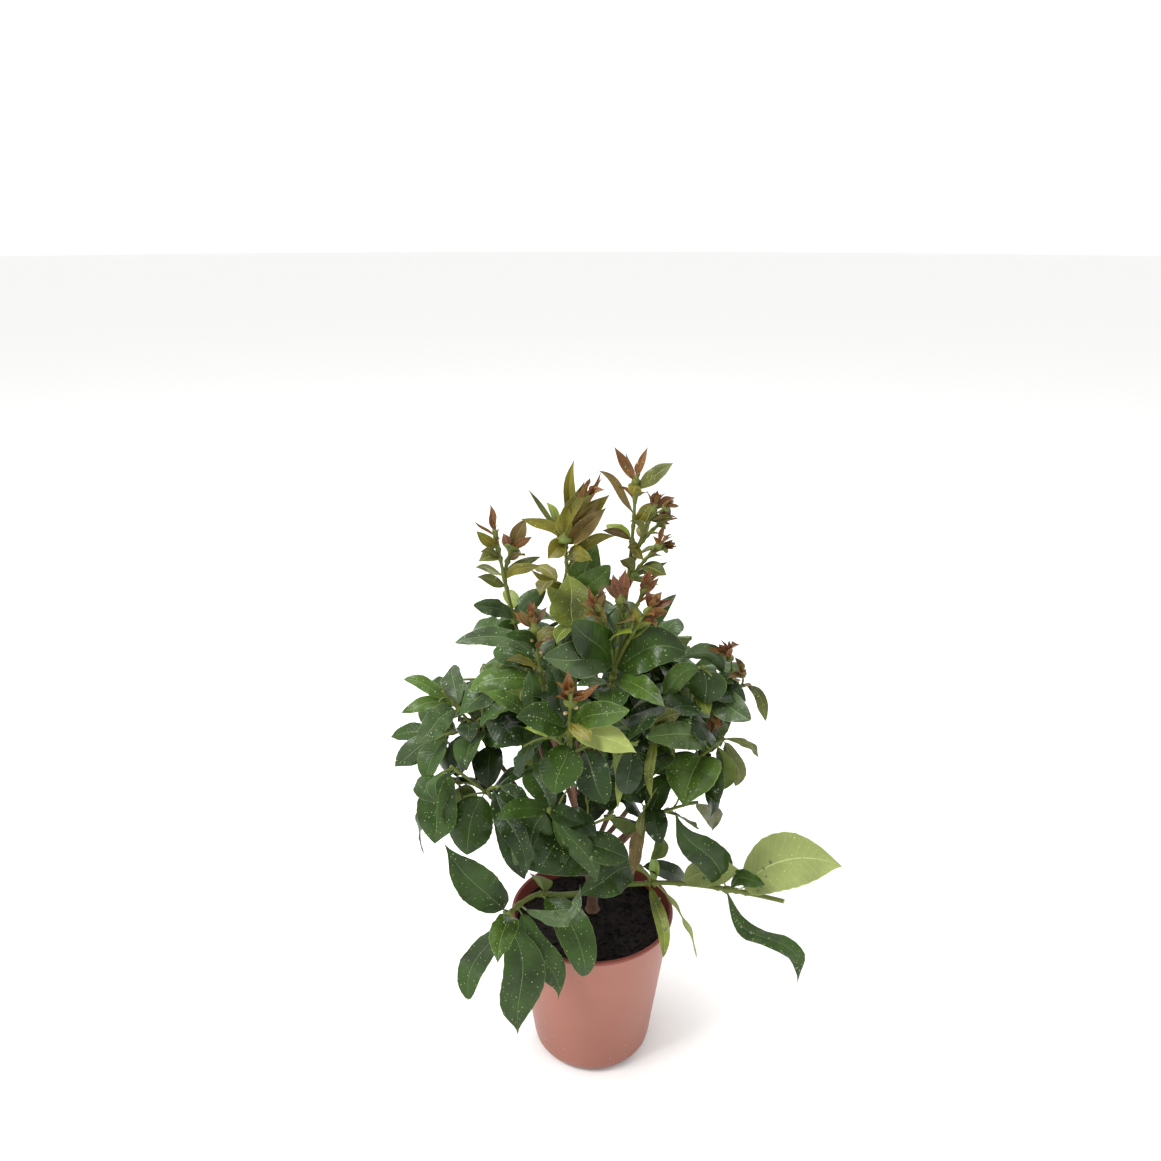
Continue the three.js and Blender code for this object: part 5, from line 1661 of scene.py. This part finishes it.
twig_skin = bark("twig_skin", TWIG_GREEN, TWIG_OLIVE, 0.5)
cut_wood = Finish("cut_wood", {"Base Color": paint(*CUT_OCHRE), "Roughness": 0.8})
for mass in MASSES:
    tubes = []
    for index, shoot in enumerate(mass["limbs"]):
        line, radii = fine_line(shoot, SUNK)
        if index < len(mass["shoots"]) and mass["shoots"][index][5] > STOUT_FROM:
            radii = radii * (1 + YOUNG_STOUTER * np.linspace(1, 0, len(radii)))
        if "low" in mass["name"] and not mass["shoots"][0][3]:
            radii = radii * np.linspace(*LOW_STOUTER, len(radii))
        for leaf in placed:
            if leaf["shoot"] is shoot:
                away = np.linalg.norm(line - leaf["base"], axis=1)
                radii = radii * (1 + STALK_SWELL * np.exp(-(away / SWELL_REACH) ** 2))
        tubes.append(tube(line, radii, TWIG_SIDES))
        if mass["name"] == "foliage_low_right" and index == 0:
            cut_line = np.array([line[-1], line[-1] + unit(line[-1] - line[-2]) * CUT_LENGTH])
            cut_radii = radii[-1:].repeat(2) * CUT_WIDER
            cut_end = add_piece("cut_end", *tube(cut_line, cut_radii, TWIG_SIDES), [cut_wood])
            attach(cut_end, "root")
    twigs = add_piece(mass["name"].replace("foliage", "twigs"), *joined(tubes), [twig_skin])
    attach(twigs, "root")

# Leaves: leathery citrus leaves, dark and waxy above and pale below, with a fine pale midrib and margin.
# Each half bulges between rib and margin, the edge ripples and the tip curls. The youngest are narrow,
# olive and bronze.
LARGE_LEAF = 30
LARGE_COLUMNS = (-1, -0.975, -0.74, -0.46, -0.2, -0.02, 0.02, 0.2, 0.46, 0.74, 0.975, 1)
SMALL_COLUMNS = (-1, -0.93, -0.45, -0.05, 0.05, 0.45, 0.93, 1)
LARGE_ROWS = 20
SMALL_ROWS = 9
STALK_ROWS = 3
LAST_ROW = 0.985
TOOTH = 0.013
STALK_THICKNESS = 0.075
BLADE_THICKNESS = 0.12
RIB_DEPTH = 0.28
LOOKS = {
    # least and most on a mature leaf, least and most on a young one
    "wider": ((0.98, 1.18), (1.0, 1.25)),
    "belly": ((0.86, 1.06), (0.84, 0.96)),
    "point": ((0, 0.4), (0.4, 0.9)),
    "more_fold": ((-8, 16), (-14, 2)),
    "bulge": ((-0.05, 0.5), (0.0, 0.2)),
    "curl": ((-0.7, 1.7), (-0.4, 1.2)),
    "bow": ((-0.06, 0.06), (-0.05, 0.05)),
    "sway": ((-0.035, 0.035), (-0.03, 0.03)),
    "ripple": ((0.01, 0.036), (0.004, 0.014)),
    "turn": ((-60, 60), (-50, 50)),
    "lean_over": ((-26, 26), (-20, 20)),
}
SELDOM_FAR = ("curl", "turn")
PAINTS = {
    # name: top, second tone of the top, underside, rib and margin
    "deep": ((28, 46, 13), (36, 56, 18), (92, 106, 54), (58, 80, 34)),
    "mature": ((44, 68, 18), (55, 79, 27), (112, 128, 66), (80, 104, 46)),
    "soft": ((66, 92, 30), (80, 106, 40), (128, 144, 76), (112, 134, 66)),
    "sage": ((64, 84, 46), (76, 95, 58), (120, 134, 84), (108, 126, 80)),
    "fresh": ((104, 122, 32), (118, 134, 42), (140, 150, 76), (146, 156, 80)),
    "lime": ((108, 118, 44), (120, 130, 54), (140, 150, 82), (152, 162, 92)),
    "pale": ((112, 134, 60), (122, 142, 70), (142, 153, 92), (168, 180, 116)),
    "moss": ((84, 92, 36), (100, 102, 44), (124, 126, 72), (130, 132, 70)),
    "olive": ((106, 104, 26), (120, 112, 34), (128, 122, 52), (142, 134, 58)),
    "umber": ((98, 82, 38), (112, 92, 48), (118, 100, 58), (128, 112, 58)),
    "bronze": ((104, 66, 30), (122, 80, 38), (124, 90, 50), (136, 104, 52)),
    "ember": ((94, 52, 32), (116, 72, 44), (116, 74, 48), (136, 96, 58)),
    "plum": ((84, 64, 44), (110, 88, 64), (114, 92, 68), (122, 102, 70)),
}
SIDES = {
    # roughness, shine, how dark the shaded patches are, how much the veins show
    "top": (0.24, 0.27, 0.62, 0.04),
    "under": (0.56, 0.2, 0.86, 0.12),
}
UNDER_DARKER = 10
VEINS = 15
VEIN_SLANT = 4.2
VEIN_SHARPNESS = 14
SPECK_EVERY = 300.0
SPECK_GLINT_PALER = 58
SPECK_SHOWS = 0.75
LEAF_RELIEF = 0.0013
SHADED_CROWN_RADIUS = 110
SHARP_EDGE = math.radians(55)

tops, unders, ribs = {}, {}, {}
for name, (top, second, under, edge) in PAINTS.items():
    darker_under = [part - UNDER_DARKER for part in under]
    for group, part, first, other in ((tops, "top", top, second), (unders, "under", under, darker_under)):
        rough, shine, shade, vein_shows = SIDES[part]
        skin = Finish(f"{name}_{part}", {"Specular IOR Level": shine})
        blade_map = skin.node("UVMap", {"uv_map": "blade"})
        across = skin.node("SeparateXYZ", inputs={"Vector": blade_map}, output="X")
        along = skin.node("SeparateXYZ", inputs={"Vector": blade_map}, output="Y")
        side = abs(across - 0.5)
        run = (along * VEINS - side * VEIN_SLANT) * math.pi
        vein = abs(skin.node("Math", {"operation": "COSINE"}, {0: run})) ** VEIN_SHARPNESS
        tone = skin.grain(90.0)
        patch = skin.grain(38.0, 4.0)
        body = skin.blend(tone, paint(*first), paint(*other))
        body = skin.blend((patch - 0.42) * 3.2, body, paint(*[tint * shade for tint in first]))
        body = skin.blend(vein * vein_shows, body, paint(*edge))
        # Painted highlight: pale specks in the leaf's colour stand in for the glints of fine water drops.
        cells = {"Vector": skin.place(), "Scale": SPECK_EVERY}
        speck = skin.node("TexVoronoi", inputs=cells, output="Distance")
        is_speck = speck < tone * 0.27 - 0.05
        body = skin.blend(is_speck * SPECK_SHOWS, body, paint(*[tint + SPECK_GLINT_PALER for tint in edge]))
        skin.feed(skin.sockets["Base Color"], body)
        skin.feed(skin.sockets["Roughness"], rough + patch * 0.22)
        skin.relief(tone * 0.5 + patch - vein * 0.05, LEAF_RELIEF)
        group[name] = skin
    ribs[name] = Finish(f"{name}_rib", {"Base Color": paint(*edge), "Roughness": 0.5})


def chosen_looks(leaf, draw):
    """What the note on a leaf says of its looks, and otherwise a chance value for its age"""
    looks = {"fold": math.degrees(leaf["fold"]), "broad": leaf["width"] / leaf["length"]}
    for name, (mature, young) in LOOKS.items():
        low, high = lerp(np.array(mature), np.array(young), leaf["youth"])
        chance = draw()
        looks[name] = lerp(low, high, 0.5 + 4 * (chance - 0.5) ** 3 if name in SELDOM_FAR else chance)
    if "fold" in leaf["looks"]:
        looks["more_fold"] = 0
    if "broad" in leaf["looks"]:
        looks.update({"wider": 1, "lean_over": 0, "turn": 0.4 * looks["turn"], "curl": 0.6 * looks["curl"]})
    elif leaf["youth"] > 0.5:
        looks["broad"] += 0.05
    return {**looks, **leaf["looks"]}


def blade(leaf, columns, rows, looks):
    """Rings of points from the foot of the stalk to the tip, each over the top and back underneath"""
    u = np.array(columns)
    stalk = np.linspace(0, PETIOLE * 0.9, STALK_ROWS)
    t = np.linspace(0, LAST_ROW, rows + 1)
    shares = np.concatenate([stalk, PETIOLE + (1 - PETIOLE) * t, [1.0]])
    t = np.concatenate([np.zeros(STALK_ROWS), t, [1.0]])
    length = leaf["length"]
    turned = {"roll": leaf["roll"] + looks["lean_over"], "twist": leaf["twist"] + looks["turn"]}
    pitch, out, sky, across, normal = curl({**leaf, **turned}, shares)
    bend = math.radians(leaf["droop"])
    first = math.radians(leaf["lean"] + leaf["droop"] / 2)
    if abs(bend) > 1e-4:
        flat = (math.sin(first) - np.sin(pitch)) / bend
        high = (np.cos(pitch) - math.cos(first)) / bend
    else:
        flat, high = math.cos(first) * shares, math.sin(first) * shares
    middle = leaf["base"] + length * (flat[:, None] * out + high[:, None] * sky)
    sideways = looks["bow"] * 4 * t * (1 - t) + looks["sway"] * np.sin(2 * math.pi * t)
    middle = middle + across * (length * sideways)[:, None]
    middle = middle - normal * (length * looks["curl"] * np.maximum(t - 0.55, 0) ** 2)[:, None]

    stalk_radius = STALK_THICKNESS * math.sqrt(length)
    narrowing = 0.56 + 0.3 * leaf["youth"] + looks["point"] * t ** 3
    outline = np.sin(math.pi * t ** looks["belly"]).clip(0) ** narrowing
    tooth = np.where((t > 0.12) & (t < 0.94), TOOTH * (-1.0) ** np.arange(len(t)), 0)
    half = looks["broad"] * looks["wider"] * length / 2 * outline * (1 + tooth)
    half = np.maximum(half, stalk_radius * (1 - t) ** 2)[:, None]
    fold = np.radians((looks["fold"] + looks["more_fold"]) * (1.2 - 0.5 * t))[:, None]
    is_blade = (t > 0)[:, None]
    t = t[:, None]
    side = np.abs(u)[None]
    width = np.where(is_blade, half * np.cos(fold) * u, stalk_radius * np.sin(u * math.pi / 2))
    waves = np.sin(2 * math.pi * (2.2 + 20 * looks["ripple"]) * t + 90 * looks["bow"] + 1.1 * np.sign(u))
    rise = half * np.sin(fold) * side - looks["bulge"] * half * side ** 2
    rise += looks["ripple"] * length * np.sin(math.pi * t) * waves * side ** 2
    rise = np.where(is_blade, rise, 0)
    rib_height = RIB_DEPTH * (1 - t) * (side < 0.1)
    foot = stalk_radius * np.exp(-t / 0.05) * (1 - side ** 2)
    thin = BLADE_THICKNESS * (1.15 - 0.7 * side ** 2) * (1.05 - 0.8 * t ** 3) + foot
    thin = np.where(is_blade, thin, np.maximum(stalk_radius * np.cos(u * math.pi / 2), 0.04))
    skin = middle[:, None] + across[:, None] * width[..., None] + normal[:, None] * rise[..., None]
    top = skin + normal[:, None] * thin[..., None]
    under = skin - normal[:, None] * (thin + np.where(is_blade, rib_height, 0))[..., None]
    rings = np.concatenate([top, under[:, ::-1]], 1)
    points = np.concatenate([rings[:-1].reshape(-1, 3), middle[-1:]])
    # A leaf that would reach out of the plant's space is pressed back into it
    over = np.maximum(points.max(0) - high_corner, 0) / np.maximum(points.max(0) - leaf["base"], 1)
    under = np.maximum(low_corner - points.min(0), 0) / np.maximum(leaf["base"] - points.min(0), 1)
    side = np.where(points > leaf["base"], over, under)
    points = points + (leaf["base"] - points) * side
    return points[:-1].reshape(rings[:-1].shape), points[-1], shares[:-1]


def ring_faces(columns, rings):
    """Faces between the rings, and the finish that each wears: rib, for the margin too, top or under"""
    count = len(columns)
    size = 2 * count
    faces, parts = [list(range(size))], ["rib"]
    for r in range(rings - 1):
        for k in range(size):
            j = (k + 1) % size
            face = [r * size + k, (r + 1) * size + k, (r + 1) * size + j, r * size + j]
            # Both skins are split along the same diagonals, so that neither shows through the other
            faces.append(face if k < count else face[1:] + face[:1])
            strip = k if k < count else size - 2 - k
            if r < STALK_ROWS or strip in (0, count - 2, -1, count - 1) or strip == count // 2 - 1:
                parts.append("rib")
            else:
                parts.append("top" if k < count else "under")
    tip = rings * size
    for k in range(size):
        faces.append([(rings - 1) * size + k, tip, (rings - 1) * size + (k + 1) % size])
        parts.append("rib")
    return faces, parts


def paint_for(leaf, chance):
    """Which paint a leaf wears: the one in its note, or else by its age and by spray, darker near the crown's
    middle as painted shade
    """
    if "paint" in leaf["looks"]:
        return leaf["looks"]["paint"]
    age = leaf["youth"] + 0.12 * (chance - 0.5)
    if age < 0.16:
        # Painted shade: mature leaves near the middle of the crown more often wear the darkest paint, as the
        # crown's inside is in shade.
        inside = max(0, 1 - math.hypot(*leaf["base"][:2]) / SHADED_CROWN_RADIUS)
        chance -= 0.45 * inside
        deal = ((0.34, "deep"), (0.8, "mature"), (0.92, "soft"), (2, "sage"))
    elif age < 0.36:
        deal = ((0.4, "mature"), (0.85, "soft"), (2, "sage"))
    elif age < 0.6:
        deal = ((0.4, "moss"), (0.6, "fresh"), (2, "olive"))
    elif leaf["length"] > LARGE_LEAF or age < 0.75:
        deal = ((0.45, "olive"), (0.65, "moss"), (0.85, "umber"), (2, "bronze"))
    else:
        deal = ((0.5, "bronze"), (0.68, "ember"), (0.88, "umber"), (2, "plum"))
    return next(paint_name for limit, paint_name in deal if chance < limit)


leaf_grids = {True: (LARGE_COLUMNS, LARGE_ROWS), False: (SMALL_COLUMNS, SMALL_ROWS)}
grid_faces = {size: ring_faces(columns, STALK_ROWS + rows + 1) for size, (columns, rows) in leaf_grids.items()}
leaf_draw = seeded(77)
spray_chance = {}
for mass in MASSES:
    blades, slots, finishes, places_on_blade = [], [], [], []
    for leaf in placed:
        if leaf["mass"] != mass["name"]:
            continue
        is_large = leaf["length"] > LARGE_LEAF
        columns, rows = leaf_grids[is_large]
        looks = chosen_looks(leaf, leaf_draw)
        rings, tip, shares = blade(leaf, columns, rows, looks)
        count = len(columns)
        leaf["top"] = rings[STALK_ROWS + 1:-2, 1:count - 1]
        leaf["under"] = rings[STALK_ROWS + 1:-2, count + 1:-1]
        leaf["area"] = 0.7 * looks["broad"] * leaf["length"] ** 2
        leaf_faces, parts = grid_faces[is_large]
        blades.append((np.concatenate([rings.reshape(-1, 3), [tip]]), leaf_faces))
        blade_u = (np.array(columns) + 1) / 2
        ring_map = np.concatenate([blade_u, blade_u[::-1]])
        leaf_map = [(u, share) for share in shares for u in ring_map] + [(0.5, 1.0)]
        spray = spray_chance.setdefault(id(leaf["shoot"]), leaf_draw())
        name = paint_for(leaf, 0.5 * spray + 0.5 * leaf_draw())
        wear = {"rib": ribs[name], "top": tops[name], "under": unders[name]}
        for face, part in zip(leaf_faces, parts):
            if wear[part] not in finishes:
                finishes.append(wear[part])
            slots.append(finishes.index(wear[part]))
            places_on_blade += [leaf_map[k] for k in face]
    leaves = add_piece(mass["name"].replace("foliage", "leaves"), *joined(blades), finishes, slots)
    blade_map = leaves.data.uv_layers.new(name="blade")
    blade_map.uv.foreach_set("vector", np.array(places_on_blade, np.float32).ravel())
    leaves.data.set_sharp_from_angle(angle=SHARP_EDGE)
    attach(leaves, "root")
    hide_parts(mass["name"])

# Buds: a few flower buds in the axils of the young shoots, pink on the outside, each on a short green stalk
# that grows out of its shoot.
BUDS = [
    # mass, shoot, how far along, way to the bud's middle
    ("foliage_upper_left", 0, 0.72, (3, -5, 2)),
    ("foliage_upper_left", 0, 0.8, (-3, -4, 3)),
    ("foliage_front", 0, 0.8, (-3, -5, 1)),
    ("foliage_front", 0, 0.84, (4, -4, 2)),
    ("foliage_right", 0, 0.34, (-2, -9, -2)),
    ("foliage_right", 0, 0.4, (3, -9, 1)),
    ("foliage_bronze", 1, 0.6, (3, -4, 3)),
]
BUD_LENGTH = 2.2
BUD_WIDTH = 1.4
BUD_STALK = 0.5
BUD_PINK = (206, 152, 124)

bud_skin = Finish("bud_skin", {"Roughness": 0.45})
bud_tone = bud_skin.blend(bud_skin.grain(300.0), paint(*BUD_PINK), paint(*BARK_GREEN))
bud_skin.feed(bud_skin.sockets["Base Color"], bud_tone)
stems_of = {mass["name"]: mass["limbs"] for mass in MASSES}
buds, stalks = [], []
for mass_name, shoot_index, share, way in BUDS:
    foot = stems_of[mass_name][shoot_index].at(share)
    way = np.array(way, float)
    away = unit(way)
    side = unit(np.cross(away, (0.3, 0.2, 0.9)))
    axes = np.array([side, np.cross(away, side), away]) * [[BUD_WIDTH], [BUD_WIDTH], [BUD_LENGTH]]
    buds.append((foot + way, axes))
    stalks.append(tube(np.array([foot, foot + way * 0.5, foot + way]), [BUD_STALK] * 3, TWIG_SIDES))
for name, mesh, finish in (
    ("buds", scatter(ball(5, 10), buds), bud_skin),
    ("bud_stalks", joined(stalks), twig_skin),
):
    bud_piece = add_piece(name, *mesh, [finish])
    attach(bud_piece, "root")

# Dew: fine drops of water lie all over the leaves, larger ones on some of them, and a few on the pot. They
# are pale beads, painted pale as the glint of the water, so small that they show as specks from a step away.
DEW_EVERY = 52
DEW_RADII = (0.28, 0.6)
LARGE_DROPS = 0.06
LARGE_DROP_RADII = (0.8, 1.5)
SPLASHES = 46
LEAST_WET_LEAF = 24
DEW_LIFT = 0.1
DEW_HEIGHT = 0.55
SPLASH_RADII = (0.3, 0.7)
SPLASH_HEIGHT = 0.4
DEW_GLINT_GREEN = (150, 168, 104)
BEAD_GREEN = (84, 104, 66)
SPLASH_GLINT_PINK = (214, 178, 158)

# Painted highlight: the fine drops' pale colour stands in for the glint of clear water.
dew = Finish("dew", {"Base Color": paint(*DEW_GLINT_GREEN), "Roughness": 0.16, "Specular IOR Level": 0.6})
bead = Finish("bead", {"Base Color": paint(*BEAD_GREEN), "Roughness": 0.05, "Specular IOR Level": 0.9})
fine_drop, large_drop = ball(1, 6), ball(3, 9)


def on_sheet(grid, row, column):
    """The point and the normal at a place on a sheet of points; rows and columns may be fractions"""
    r, c = int(row), int(column)
    a, b, d, e = grid[r, c], grid[r, c + 1], grid[r + 1, c], grid[r + 1, c + 1]
    point = lerp(lerp(a, b, column - c), lerp(d, e, column - c), row - r)
    return point, unit(np.cross(e - a, d - b))


def drop_axes(normal, radius, height):
    side = unit(np.cross(normal, (0.31, 0.52, 0.79)))
    return np.array([side * radius, np.cross(normal, side) * radius, normal * height])


random = np.random.default_rng(23)
for mass in MASSES:
    fine, large = [], []
    for leaf in placed:
        if leaf["mass"] != mass["name"] or leaf["length"] < LEAST_WET_LEAF:
            continue
        shown = leaf["under"] if abs(leaf["roll"]) > 90 else leaf["top"]
        if leaf["youth"] > 0.5 and random.random() < 0.6:
            continue
        wet = random.uniform(0.3, 1.5)
        for _ in range(round(leaf["area"] / DEW_EVERY * wet)):
            row = random.random() * (shown.shape[0] - 1.001)
            column = random.random() * (shown.shape[1] - 1.001)
            is_large = random.random() < LARGE_DROPS * wet
            radius = random.uniform(*(LARGE_DROP_RADII if is_large else DEW_RADII))
            point, normal = on_sheet(shown, row, column)
            drop = (point + normal * DEW_LIFT, drop_axes(normal, radius, DEW_HEIGHT * radius))
            (large if is_large else fine).append(drop)
    for name, shape, finish, places in (("dew", fine_drop, dew, fine), ("beads", large_drop, bead, large)):
        if places:
            drops = add_piece(mass["name"].replace("foliage", name), *scatter(shape, places), [finish])
            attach(drops, "root")
splashes = []
for _ in range(SPLASHES):
    turn = random.uniform(-math.pi, 0)
    height = random.uniform(16, POT_HEIGHT - 8)
    out = np.array([math.cos(turn), math.sin(turn), -pot_slope])
    place_on_pot = out * (1, 1, 0) * (BASE_RADIUS + pot_slope * height) + (0, 0, height)
    radius = random.uniform(*SPLASH_RADII)
    splashes.append((place_on_pot, drop_axes(unit(out), radius, SPLASH_HEIGHT * radius)))
# Painted highlight: the splashes' pale colour stands in for the glint of the water on the pot.
pale_splash = Finish("pale_splash", {"Base Color": paint(*SPLASH_GLINT_PINK), "Roughness": 0.4})
pot_splashes = add_piece("pot_splashes", *scatter(fine_drop, splashes), [pale_splash])
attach(pot_splashes, "root")
